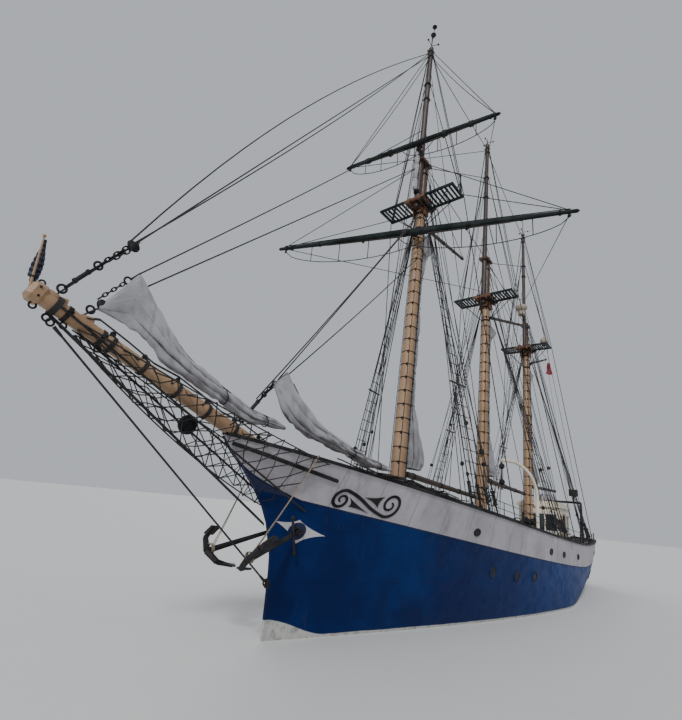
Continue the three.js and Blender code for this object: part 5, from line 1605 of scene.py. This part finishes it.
def gathered(name, seed, centre_at, sizes_at, folds, upright, pinches):
    """Cloth furled like a shut umbrella: round folds with sharp valleys, pinched where lines go round it."""
    rng = random.Random(seed)
    phase = [rng.uniform(0, 2 * math.pi) for _ in range(10)]
    deep = [rng.uniform(0.25, 0.62) for _ in range(folds)]
    around = 14 * folds
    depths = []

    def place(u, v):
        t, turn = u, 2 * math.pi * v
        across, height = sizes_at(t)
        drift = 0.9 * math.sin(2.1 * math.pi * t + phase[0]) + 0.35 * math.sin(7.3 * math.pi * t + phase[1])
        warped = folds * v + 0.3 * math.sin(turn + phase[2]) + 0.22 * math.sin(2 * turn + phase[3] + 3 * t)
        warped += 0.35 * drift * math.sin(turn / 2) ** 2
        index = int(warped) % folds
        crest = abs(math.sin(math.pi * warped)) ** 0.55
        calm = min(1.0, 0.15 + 4 * t)
        strength = deep[index] * (0.7 + 0.3 * math.sin(11 * t + phase[4] + 2.4 * index))
        strength *= min(1.0, 0.2 + 2.4 * t)
        pinch = max((math.exp(-((t - at) * 40) ** 2) for at in pinches), default=0.0)
        lumps = 0.1 * math.sin(17 * t + phase[5] + turn) + 0.07 * math.sin(31 * t + phase[6] - 2 * turn)
        r = (1 - strength * (1 - crest)) * (1 + calm * lumps) * (1 - 0.3 * pinch)
        r += 0.06 * calm * math.sin(23 * t + 5 * turn + phase[7]) * math.sin(13 * t + phase[8])
        ragged = math.sin(57 * t - 3 * turn + phase[1]) * math.sin(29 * t + 2 * turn + phase[2])
        ragged += 0.8 * math.sin(97 * t + 7 * turn + phase[3]) * math.sin(41 * t - 3 * turn + phase[6])
        r += 0.05 * calm * ragged
        # Depth of each point in its fold, which the sailcloth turns into painted shade in the folds
        depths.append(1 - strength * (1 - crest) + 0.16 * ragged - 0.25 * pinch)
        c = centre_at(t)
        side, reach = across * r * math.cos(turn), height * r * math.sin(turn)
        sway = 0.12 * across * math.sin(9 * t + phase[9])
        if upright:
            return vec(c.x + reach, c.y + side + sway, c.z)
        return vec(c.x, c.y + side + sway, c.z + reach)

    obj = bent_grid(name, 110, around, place)
    obj.data.attributes.new(FOLD_SHADE_DEPTH, "FLOAT", "POINT").data.foreach_set("value", depths)
    return modified(closed(obj, 1e-4), "SOLIDIFY", thickness=0.006, offset=-1)


def jib_at(rows, column, t):
    """A value of a dropped jib's table, straight between its rows."""
    x = rows[0][0] - (rows[0][0] - rows[-1][0]) * t
    for one, other in zip(rows, rows[1:]):
        if x >= other[0]:
            return one[column] + (other[column] - one[column]) * (one[0] - x) / (one[0] - other[0])
    return rows[-1][column]


def hoop_round(centre, across, height, upright, tilt):
    """A loop of rope round furled cloth."""
    loop = []
    for i in range(25):
        a = 2 * math.pi * i / 24
        side, reach = across * math.cos(a), height * math.sin(a)
        along = tilt * math.sin(a)
        loop.append(centre + (vec(reach, side, along) if upright else vec(along, side, reach)))
    return loop


def make_brailed(sail, seed):
    """A gaff sail brailed to its mast, with its brails and hoisting rope."""
    mast, top, bottom = SAIL_ENDS[sail]

    def centre(t):
        z = top + (bottom - top) * t
        return vec(mast_x(mast, z) - mast_radius(mast, z) - table_value(BRAILED, 1, t), 0, z)

    def sizes(t):
        return table_value(BRAILED, 2, t), table_value(BRAILED, 3, t)

    obj = gathered(sail + "_cloth", seed, centre, sizes, 9, True, BRAIL_SHARES)
    dressed(obj, "shaded", "sailcloth", angle=50, replaces=[sail])
    ropes = [hoop_round(centre(t), sizes(t)[0] * 0.86, sizes(t)[1] * 0.86, True, 0.04) for t in BRAIL_SHARES]
    ropes.append([centre(i / 30) + X_AXIS * (sizes(i / 30)[1] * 0.9 + 0.02) for i in range(1, 30)])
    rigged(f"{sail}_brails", ropes, 0.014, "hemp")


def make_dropped(sail, seed):
    """A jib dropped on the bowsprit, with its gaskets and bolt rope."""
    rows = JIBS[sail]
    length = rows[0][0] - rows[-1][0]

    def centre(t):
        return vec(rows[0][0] - length * t, 0, jib_at(rows, 1, t))

    def sizes(t):
        return jib_at(rows, 2, t), jib_at(rows, 3, t)

    obj = gathered(sail + "_cloth", seed, centre, sizes, 7, False, GASKET_SHARES)
    dressed(obj, "cloth", "sailcloth", angle=50, replaces=[sail])
    ropes = [hoop_round(centre(t), sizes(t)[0] * 0.9, sizes(t)[1] * 0.9, False, 0.05) for t in GASKET_SHARES]
    ropes.append([centre(i / 40) + UP * (sizes(i / 40)[1] * 0.95 + 0.005) for i in range(5, 40)])
    rigged(f"{sail}_gaskets", ropes, 0.013)


def make_sails():
    """Brailed gaff sails and dropped jibs as furled cloth, each from its own seed."""
    for n, sail in enumerate(SAIL_ENDS):
        make_brailed(sail, n + 3)
    for n, sail in enumerate(JIBS):
        make_dropped(sail, n + 11)


# Deck gear
def belaying_pin():
    """A pin that hangs in its rail, the rail's top at the origin."""
    shaft = post("pin", UP * -0.22, 0.24, 0.013, 0.017, sides=8)
    return joined("pin", [shaft, post("head", Vector(), 0.15, 0.022, 0.015, sides=8)])


def rope_coil(turns=4):
    """A coil that hangs from its top at the origin, seen broad along Y."""
    loops = []
    for k in range(turns):
        loop = ring("turn", vec(0.012 * (k % 2), 0.024 * (k - turns / 2), -0.2), Y_AXIS, 0.145, 0.012, 18, 5)
        loops.append(loop)
    coil = joined("coil", loops)
    coil.data.transform(Matrix.Diagonal((0.72, 1, 1.45, 1)))
    coil.data.transform(Matrix.Translation((0, 0, 0.06)))
    return coil


def make_pin_rails():
    """Pin rails inside the bulwarks abreast of each mast, with belaying pins and coils."""
    rng = random.Random(9)
    rails, pins, coils = [], [], []
    for mast in MASTS:
        base = mast_x(mast, 3)
        for side in SIDES:
            ends = [inside_point(x, rail_height(x) - 0.16, side, 0.17) for x in (base + 0.9, base - 1.9)]
            rails.append(rod("rail", ends[0], ends[1], 0.055, sides=4))
            for k in range(11):
                p = ends[0].lerp(ends[1], (k + 0.5) / 11)
                pins.append(Matrix.Translation(p + UP * 0.04))
                inward = vec(p.x, p.y - side * 0.1, p.z)
                spin, lean = rng.uniform(-0.25, 0.25), rng.uniform(-0.12, 0.12)
                if k % 4 != 3:
                    turn = Matrix.Rotation(spin, 4, "Z") @ Matrix.Rotation(lean, 4, "Y")
                    size = Matrix.Scale(rng.uniform(0.85, 1.15), 4)
                    coils.append(Matrix.Translation(inward + UP * 0.03) @ turn @ size)
    built("pin_rails", rails, "timber", "spar_dark")
    dressed(copies("belaying_pins", belaying_pin(), pins), "timber", "spar_dark")
    dressed(copies("rope_coils", rope_coil(), coils), "hemp", "rigging")


def make_bollards():
    """Pairs of iron bollards on their plates, near the bulwarks."""
    parts = [box("plate", (-0.28, -0.12, 0), (0.28, 0.12, 0.025), 0.01)]
    for x in (-0.17, 0.17):
        parts.append(post("post", vec(x, 0, 0), 0.3, 0.062, 0.055, sides=18))
        parts.append(post("cap", vec(x, 0, 0.28), 0.04, 0.085, 0.07, sides=18))
    places = []
    for x in (11.3, 5.0, -2.9, -7.0, -12.2):
        for side in SIDES:
            foot = inside_point(x, deck_height(x), side, 0.42)
            places.append(Matrix.Translation(foot + UP * DECK_COVER))
    dressed(copies("bollards", joined("bollard", parts), places), "iron", "dark_steel")


def make_ventilators():
    """Cowl ventilators facing forward, cream outside and red inside."""
    shells, mouths = [], []
    for x, y, height in ((6.45, 0.72, 0.75), (6.45, -0.72, 0.75), (-5.35, 0.62, 0.6), (-5.35, -0.62, 0.6)):
        foot = vec(x, y, deck_height(x))
        top = foot + UP * height
        lip = top + vec(0.2, 0, 0.05)
        shells += [post("neck", foot, height, 0.095, sides=20),
                   post("foot", foot, 0.05, 0.14, 0.12, sides=20),
                   ball("bend", top, 0.13, (1, 1, 1.1), 18),
                   rod("bell", top + UP * 0.02, lip, 0.12, 0.18, 24),
                   ring("lip", lip, X_AXIS, 0.178, 0.014, 24, 8)]
        mouths.append(rod("mouth", lip - X_AXIS * 0.01, lip + X_AXIS * 0.007, 0.17, sides=24))
    built("ventilators", shells, "cream", "house_cream")
    built("ventilator_mouths", mouths, "red", "bronze")


def make_house_trim(node, ports, door_x):
    """Roof edge, handrails, round ports and a door on a deckhouse."""
    low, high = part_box(node)
    edge = [vec(x, y, high.z - 0.02) for x, y in
            ((low.x, low.y), (high.x, low.y), (high.x, high.y), (low.x, high.y), (low.x, low.y))]
    dressed(lines(f"{node}_roof_edge", [edge], 0.035, 2), "teak", "teak", angle=60)
    rails, rims, panes = [], [], []
    for side in SIDES:
        y = side * (high.y - 0.16)
        ends = [vec(x, y, high.z + 0.11) for x in (low.x + 0.2, high.x - 0.2)]
        rails.append(rod("rail", *ends, 0.02, sides=10))
        count = int((high.x - low.x) / 0.6)
        for k in range(count + 1):
            x = low.x + 0.24 + (high.x - low.x - 0.48) * k / count
            rails.append(post("post", vec(x, y, high.z - 0.01), 0.12, 0.014, sides=8))
        for x in ports:
            place = vec(x, side * (high.y + 0.004), high.z - 0.48)
            rims.append(ring("rim", place, Y_AXIS, 0.135, 0.022, 28, 8))
            out = Y_AXIS * side
            panes.append(rod("pane", place - out * 0.01, place + out * 0.006, 0.13, sides=28))
    built(f"{node}_handrails", rails, "teak", "teak")
    built(f"{node}_port_rims", rims, "bronze", "bronze")
    built(f"{node}_port_glass", panes, "glass", "rail_black")
    base = deck_height(door_x)
    way = 1 if door_x > (low.x + high.x) / 2 else -1
    ends = (door_x - 0.012, -0.36, base + 0.16), (door_x + 0.03 * way, 0.36, high.z - 0.12)
    panels = [box("door", *ends, 0.012)]
    face = door_x + 0.02 * way
    for a in (-0.2, 0.2):
        ends = (face - 0.01, a - 0.13, base + 0.3), (face + 0.018, a + 0.13, high.z - 0.28)
        panels.append(box("panel", *ends, 0.012))
    built(f"{node}_door", panels, "teak", "teak")


def make_wheelhouse_trim():
    """Window frames, roof gear and a lamp on the wheelhouse."""
    low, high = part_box("wheelhouse")
    frames = []
    for x in (low.x - 0.008, high.x + 0.008):
        for z in (WINDOW_SILL - 0.04, WINDOW_HEAD + 0.04):
            frames.append(box("frame", (x - 0.014, -1.12, z - 0.03), (x + 0.014, 1.12, z + 0.03), 0.008))
    for y in (low.y - 0.008, high.y + 0.008):
        for z in (WINDOW_SILL - 0.04, WINDOW_HEAD + 0.04):
            ends = (low.x, y - 0.014, z - 0.03), (low.x + 0.72, y + 0.014, z + 0.03)
            frames.append(box("frame", *ends, 0.008))
    built("wheelhouse_frames", frames, "white", "band_white")
    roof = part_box("wheelhouse_roof")[1].z
    seat = vec(RAFT_X, 0, roof)
    middle = seat + UP * 0.25
    raft = collar("life_raft", middle, Y_AXIS * 0.45, 0.24, 32)
    cradle = [box("cradle", seat + vec(-0.22, y - 0.04, -0.02), seat + vec(0.22, y + 0.04, 0.1), 0.01)
              for y in (-0.3, 0.3)]
    bands = [ring("band", middle + Y_AXIS * y, Y_AXIS, 0.243, 0.008, 32, 6) for y in (-0.2, 0.0, 0.2)]
    dressed(bevelled(raft, 0.05, 3), "white", "band_white")
    built("raft_cradle", [*cradle, *bands])
    foot = vec(LAMP_X, 0, roof - 0.02)
    lamp = [post("lamp", foot, 0.22, 0.03, sides=12), ball("lamp", foot + UP * 0.28, 0.1, (1, 1, 0.8), 18)]
    built("searchlight", lamp, "steel", "dark_steel")


def make_life_lines():
    """Low posts and two wires along the rail from the fore mast aft."""
    posts, wires = [], []
    for side in SIDES:
        tops = []
        for k in range(13):
            x = 6.95 - 1.55 * k
            foot = rail_point(x, side, 0.06, CAPRAIL_HEIGHT - 0.01)
            tops.append(foot + UP * 0.45)
            posts.append(post("post", foot, 0.46, 0.016, 0.013, sides=10))
            posts.append(post("shoe", foot, 0.03, 0.04, 0.03, sides=12))
        wires.append(tops)
        wires.append([p - UP * 0.22 for p in tops])
    built("life_line_posts", posts)
    rigged("life_lines", wires, 0.011)


def make_davit_gear():
    """Tackle and hook under the davit's head and the winch drum on its post."""
    blocks = copies("blocks", pulley(), [stood(DAVIT_HEAD - UP * drop, UP, 0.9) for drop in (0.12, 0.75)])
    routes = []
    for a, b in ((0.03, 0.0), (-0.03, 0.0), (0, 0.04)):
        routes.append([DAVIT_HEAD + vec(a, b, -0.15), DAVIT_HEAD + vec(a, b, -0.7)])
    hook = ring("hook", DAVIT_HEAD - UP * 0.98, Y_AXIS, 0.06, 0.017, 18, 8)
    built("davit_tackle", [blocks, lines("falls", routes, 0.009), hook], body="davit")
    foot = vec(1.3, 2.72, rail_height(1.3) + 0.42)
    middle = foot + X_AXIS * 0.02
    winch = [rod("drum", middle - Y_AXIS * 0.12, middle - Y_AXIS * 0.42, 0.13, sides=24)]
    for y in (0.1, 0.42):
        winch.append(rod("cheek", middle - Y_AXIS * y, middle - Y_AXIS * (y + 0.025), 0.2, sides=28))
    winch.append(rod("arm", foot, middle - Y_AXIS * 0.14, 0.03, sides=10))
    built("davit_winch", winch, body="davit")


def make_rail_gear():
    """Ropes left along the rail at the bows, with coils over it and a lashed spar."""
    rng = random.Random(12)
    ropes, coils, spars = [], [], []
    for side in SIDES:
        for n in range(5):
            phase, route = rng.uniform(0, 6.28), []
            start, end = 12.4 - 0.5 * n, 7.6 + 0.4 * n
            for i in range(41):
                x = start + (end - start) * i / 40
                above = CAPRAIL_HEIGHT + 0.03 + 0.035 * (1 + math.sin(3.7 * x + 2 * phase)) + 0.008 * n
                route.append(rail_point(x, side, 0.06 - 0.05 * math.sin(2.3 * x + phase), above))
            ropes.append(route)
        for x in (11.7, 10.2, 8.9, 4.6, 3.9, -1.2, -2.6):
            p = rail_point(x, side, 0.12, CAPRAIL_HEIGHT + 0.02)
            turn = Matrix.Rotation(math.pi / 2, 4, "X") @ Matrix.Rotation(rng.uniform(0, 3), 4, "Z")
            coils.append(Matrix.Translation(p + UP * 0.01) @ turn @ Matrix.Scale(rng.uniform(0.6, 0.8), 4))
        ends = [rail_point(x, side, 0.26, CAPRAIL_HEIGHT + 0.07) for x in (10.9, 7.9)]
        spars.append(rod("spar", *ends, 0.055, 0.04, 12))
    rigged("rail_ropes", ropes, 0.017)
    dressed(copies("rail_coils", rope_coil(5), coils), "rope", "rigging")
    built("rail_spars", spars, "spar", "spar_dark")


def make_anchor_gear():
    """Stocks and rings of the anchors, their chain to the hawse and the pale lashing from the rail."""
    iron, links, ropes = [], [], []
    for side in SIDES:
        at, crown = (vec(x, side * y, z) for x, y, z in (ANCHOR_RING, ANCHOR_CROWN))
        shank = (crown - at).normalized()
        stock = (UP - shank * UP.dot(shank)).normalized()
        centre = at + shank * 0.3 + vec(0, side * 0.05, 0)
        iron.append(collar("stock", centre, stock * 0.42, 0.032, 12))
        for end in (-1, 1):
            iron.append(ball("knob", centre + stock * 0.42 * end, 0.055, (1, 1, 1), 14))
        iron.append(ring("shackle", at + shank * 0.06 + vec(0, side * 0.05, 0), stock, 0.09, 0.022, 20, 8))
        start, end = on_skin(*EYE_CENTRE, side, 0.02), at + vec(0.05, side * 0.09, 0.0)
        iron.append(ring("hawse", start, on_skin(*EYE_CENTRE, side, 1.0) - start, 0.085, 0.025, 24, 8))
        for i in range(2):
            links.append(stood(start.lerp(end, i / 2), end - start, 0.95, link_turn(i)))
        rail = rail_point(12.95, side, -0.06, 0.1)
        tie = crown - shank * 0.12 + UP * 0.08
        ropes.append(sagging(rail, tie, 0.05))
        ropes.append(sagging(rail + X_AXIS * 0.03, tie - shank * 0.05, 0.07))
        for k in range(3):
            middle = tie + vec(0.03 * k, 0, -0.06)
            ropes.append([middle + vec(0.02 * math.sin(a), 0.11 * math.cos(a), 0.11 * math.sin(a))
                          for a in (2 * math.pi * i / 12 for i in range(13))])
    built("anchor_ironwork", iron)
    dressed(copies("anchor_chain", chain_link(), links), "iron", "dark_steel")
    rigged("anchor_lashings", ropes, 0.011, "hemp")


def make_mast_fittings():
    """Radar and dome on the mizzen, lamps, the furled canvas on the fore topmast and a pennant."""
    m = MASTS["mizzen"]
    base = topmast_point("mizzen", 16.05)
    arm = [rod("bracket", base, base + vec(0.5, 0.0, 0.0), 0.03, sides=10),
           rod("bracket", base - UP * 0.35, base + vec(0.45, 0, -0.02), 0.02, sides=8)]
    built("radar_bracket", arm)
    seat = base + vec(0.45, 0, 0.0)
    body = [rod("motor", seat, seat + UP * 0.26, 0.24, 0.2, 28),
            rod("neck", seat + UP * 0.24, seat + UP * 0.36, 0.07, sides=16),
            ball("scanner", seat + UP * 0.5, 0.36, (1, 1, 0.7), 28)]
    rim = mast_point("mizzen", m["crosstree"] + 0.09, 0.0, m["half"] - 0.3)
    body.append(rod("plinth", rim, rim + UP * 0.1, 0.14, 0.12, 20))
    body.append(ball("dome", rim + UP * 0.3, 0.24, (1, 1, 1.05), 24))
    built("radar_and_dome", body, "radome", "band_white")
    lamps = [ball("lamp", mast_point("fore", 16.35, 0.5), 0.13, (1, 1, 1.15), 20),
             rod("arm", mast_point("fore", 16.15), mast_point("fore", 16.2, 0.5), 0.022, sides=8),
             ball("lamp", mast_point("main", 6.2, 0.36, 0.1), 0.12, (1, 1, 1.1), 20),
             rod("arm", mast_point("main", 6.15), mast_point("main", 6.17, 0.34, 0.1), 0.022, sides=8)]
    built("mast_lamps", lamps, "iron", "rail_black")

    def strip(t):
        return topmast_point("fore", 16.35 + 2.0 * t) + vec(MASTS["fore"]["top"] + 0.16, 0, 0)

    def strip_sizes(t):
        return 0.1, 0.11 if 0.03 < t < 0.97 else 0.05

    roll = gathered("furled_topsail", 21, strip, strip_sizes, 6, True, (0.3, 0.7))
    dressed(roll, "cloth", "sailcloth", angle=50)
    top = mast_point("mizzen", m["crosstree"], 0.1, m["half"] - 0.1)

    def pennant(u, v):
        drop = 0.75 * u
        width = 0.4 * (0.35 + 0.65 * u) * (v - 0.5)
        wave = 0.06 * math.sin(7 * u + 5 * v)
        return top + vec(wave - 0.3 * width, 0.9 * width + 0.02, -1.15 - drop + 0.02 * math.sin(9 * v))

    cloth = bent_grid("pennant", 16, 10, pennant)
    thickened(cloth, 0.003)
    dressed(cloth, "pennant", "sailcloth", angle=60)
    down = [top, top - UP * 1.15, top - UP * 1.95, vec(top.x, top.y * 1.6, 3.2)]
    rigged("pennant_halyard", [down], 0.008)


def make_deck_gear():
    """Finish of the deck's pieces, with rims, handrails and glass."""
    for node in ("windlass_frame", "windlass_drum", "port_anchor", "starboard_anchor", "stern_gantry",
                 "engine"):
        refined(node, "iron")
    for node in ("fore_deckhouse", "aft_deckhouse", "wheelhouse", "wheelhouse_roof", "davit", "davit_socket"):
        refined(node, "cream")
    for node in ("hatch_coaming", "hatch_lid", "wheelhouse_door", "steering_pedestal", "ships_wheel"):
        refined(node, "teak")
    refined("rudder", "hull")
    refined("propeller", "bronze")
    low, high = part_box("wheelhouse")
    panes = []
    for x in (low.x + 0.03, high.x - 0.03):
        for a, b in WINDOWS_FORE_AND_AFT:
            panes.append(box("pane", (x - 0.006, a - 0.02, WINDOW_SILL - 0.02),
                             (x + 0.006, b + 0.02, WINDOW_HEAD + 0.02)))
    for y in (low.y + 0.03, 1.12):
        for a, b in WINDOWS_ABEAM:
            panes.append(box("pane", (a - 0.02, y - 0.006, WINDOW_SILL - 0.02),
                             (b + 0.02, y + 0.006, WINDOW_HEAD + 0.02)))
    built("wheelhouse_glass", panes, "glass", "rail_black", angle=0)
    make_pin_rails()
    make_bollards()
    make_ventilators()
    make_house_trim("fore_deckhouse", (3.8, 4.55, 5.3), 3.2)
    make_house_trim("aft_deckhouse", (-4.3, -3.2, -2.1), -1.5)
    make_wheelhouse_trim()
    make_life_lines()
    make_davit_gear()
    make_rail_gear()
    make_anchor_gear()
    make_mast_fittings()


def make_stage():
    """Floor on the water's plane, soft light and the camera."""
    floor = box("floor", (-260, -260, -0.05), (260, 260, 0.0))
    look = Look("pale_floor", 0.75)
    look.colour(look.mix(look.noise(0.4, 4), (0.6, 0.6, 0.59), (0.64, 0.64, 0.63)))
    floor.data.materials.append(look.material)
    world = bpy.context.scene.world or bpy.data.worlds.new("studio")
    bpy.context.scene.world = world
    world.use_nodes = True
    world.node_tree.nodes["Background"].inputs[0].default_value = (0.82, 0.86, 0.92, 1)
    world.node_tree.nodes["Background"].inputs[1].default_value = 0.6
    for name, turn, power, angle in SUNS:
        bpy.ops.object.light_add(type="SUN", rotation=[math.radians(a) for a in turn])
        light = bpy.context.object
        light.name = name
        light.data.energy = power
        light.data.angle = math.radians(angle)
    bpy.ops.object.camera_add(location=CAMERA_PLACE)
    camera = bpy.context.object
    camera.data.sensor_width = 36
    camera.data.lens = CAMERA_LENS
    camera.data.clip_end = 1000
    flat = math.cos(CAMERA_PITCH)
    forward = vec(-math.sin(CAMERA_YAW) * flat, -math.cos(CAMERA_YAW) * flat, math.sin(CAMERA_PITCH))
    right = forward.cross(UP).normalized()
    top = right.cross(forward)
    turn = Matrix.Rotation(-CAMERA_ROLL, 3, forward)
    axes = Matrix((turn @ right, turn @ top, -forward)).transposed()
    camera.rotation_mode = "QUATERNION"
    camera.rotation_quaternion = axes.to_quaternion()
    bpy.context.scene.camera = camera


# Properties
def tint(label, text, default):
    return FloatVectorProperty(name=label, description=text, default=default, subtype="COLOR", min=0, max=1)


class SchoonerPaint(bpy.types.PropertyGroup):
    blue: tint("Topsides", "Blue of the topsides forward", (0.0018, 0.009, 0.06))
    # Lighter blue towards which the topsides turn aft
    blue_aft: tint("Topsides aft", "Faded blue of the topsides aft", (0.003, 0.04, 0.19))
    white: tint("Bulwark", "White of the bulwark band", (0.4, 0.38, 0.41))
    black: tint("Rail", "Black of caprail and rubbing bars", (0.006, 0.006, 0.007))
    buff: tint("Masts", "Buff of lower masts and bowsprit", (0.29, 0.175, 0.095))
    green: tint("Yards", "Green black of yards and crosstrees", (0.004, 0.009, 0.0085))
    cream: tint("Deckhouses", "Cream of the deckhouses", (0.6, 0.55, 0.45))


class SchoonerRig(bpy.types.PropertyGroup):
    ratline_spacing: FloatProperty(name="Ratline spacing", description="Height between two ratlines",
                                   default=0.39, min=0.25, max=0.6, unit="LENGTH")


class SchoonerSails(bpy.types.PropertyGroup):
    cloth: tint("Cloth", "Colour of the weathered sailcloth", (0.37, 0.365, 0.39))


# Operators
class SCHOONER_OT_hull(bpy.types.Operator):
    """Plated hull skin and planked deck"""
    bl_idname = "schooner.hull"
    bl_label = "Hull"

    def execute(self, context):
        make_hull()
        return {"FINISHED"}


class SCHOONER_OT_bulwarks(bpy.types.Operator):
    """Bulwark band, caprail, stanchions, fairleads and portholes"""
    bl_idname = "schooner.bulwarks"
    bl_label = "Bulwarks"

    def execute(self, context):
        make_bulwarks()
        return {"FINISHED"}


class SCHOONER_OT_ornaments(bpy.types.Operator):
    """Painted eye and scroll on the bows"""
    bl_idname = "schooner.ornaments"
    bl_label = "Bow ornaments"

    def execute(self, context):
        make_ornaments()
        return {"FINISHED"}


class SCHOONER_OT_spars(bpy.types.Operator):
    """Masts, yards, booms and gaffs with their bands"""
    bl_idname = "schooner.spars"
    bl_label = "Spars"

    def execute(self, context):
        make_spars()
        return {"FINISHED"}


class SCHOONER_OT_standing_rigging(bpy.types.Operator):
    """Shrouds, ratlines, stays and halyards"""
    bl_idname = "schooner.standing_rigging"
    bl_label = "Standing rigging"

    def execute(self, context):
        make_standing_rigging()
        make_stays()
        return {"FINISHED"}


class SCHOONER_OT_bowsprit(bpy.types.Operator):
    """Bands, chain, blocks and net of the bowsprit"""
    bl_idname = "schooner.bowsprit"
    bl_label = "Bowsprit gear"

    def execute(self, context):
        make_bowsprit_gear()
        return {"FINISHED"}


class SCHOONER_OT_running_rigging(bpy.types.Operator):
    """Footropes, lifts, braces, halyards and sheets"""
    bl_idname = "schooner.running_rigging"
    bl_label = "Running rigging"

    def execute(self, context):
        make_yard_rigging()
        make_spar_rigging()
        return {"FINISHED"}


class SCHOONER_OT_sails(bpy.types.Operator):
    """Brailed gaff sails and dropped jibs"""
    bl_idname = "schooner.sails"
    bl_label = "Sails"

    def execute(self, context):
        make_sails()
        return {"FINISHED"}


class SCHOONER_OT_deck_gear(bpy.types.Operator):
    """Deckhouses, wheelhouse, windlass and anchors"""
    bl_idname = "schooner.deck_gear"
    bl_label = "Deck gear"

    def execute(self, context):
        make_deck_gear()
        return {"FINISHED"}


class SCHOONER_OT_stage(bpy.types.Operator):
    """Floor, light and camera"""
    bl_idname = "schooner.stage"
    bl_label = "Stage"

    def execute(self, context):
        make_stage()
        return {"FINISHED"}


OPERATORS = (
    SCHOONER_OT_stage, SCHOONER_OT_hull, SCHOONER_OT_bulwarks, SCHOONER_OT_ornaments, SCHOONER_OT_spars,
    SCHOONER_OT_standing_rigging, SCHOONER_OT_bowsprit, SCHOONER_OT_running_rigging, SCHOONER_OT_sails,
    SCHOONER_OT_deck_gear,
)
GROUPS = {"schooner_paint": SchoonerPaint, "schooner_rig": SchoonerRig, "schooner_sails": SchoonerSails}


class SCHOONER_PT_panel(bpy.types.Panel):
    """Lists the operators that dress the schooner"""
    bl_idname = "SCHOONER_PT_panel"
    bl_label = "Schooner"
    bl_space_type = "VIEW_3D"
    bl_region_type = "UI"
    bl_category = "Schooner"

    def draw(self, context):
        for name, group in GROUPS.items():
            for key in group.__annotations__:
                self.layout.prop(getattr(context.scene, name), key)
        for operator in OPERATORS:
            self.layout.operator(operator.bl_idname)


def register():
    for group in GROUPS.values():
        bpy.utils.register_class(group)
    for operator in OPERATORS:
        bpy.utils.register_class(operator)
    bpy.utils.register_class(SCHOONER_PT_panel)
    for name, group in GROUPS.items():
        setattr(bpy.types.Scene, name, PointerProperty(type=group))


def unregister():
    for name in GROUPS:
        delattr(bpy.types.Scene, name)
    bpy.utils.unregister_class(SCHOONER_PT_panel)
    for cls in (*OPERATORS, *GROUPS.values()):
        bpy.utils.unregister_class(cls)


def main():
    register()
    make_looks(bpy.context.scene)
    bpy.ops.schooner.stage()
    bpy.ops.schooner.hull()
    bpy.ops.schooner.bulwarks()
    bpy.ops.schooner.ornaments()
    bpy.ops.schooner.spars()
    bpy.ops.schooner.standing_rigging()
    bpy.ops.schooner.bowsprit()
    bpy.ops.schooner.running_rigging()
    bpy.ops.schooner.sails()
    bpy.ops.schooner.deck_gear()


if __name__ == "__main__":
    main()
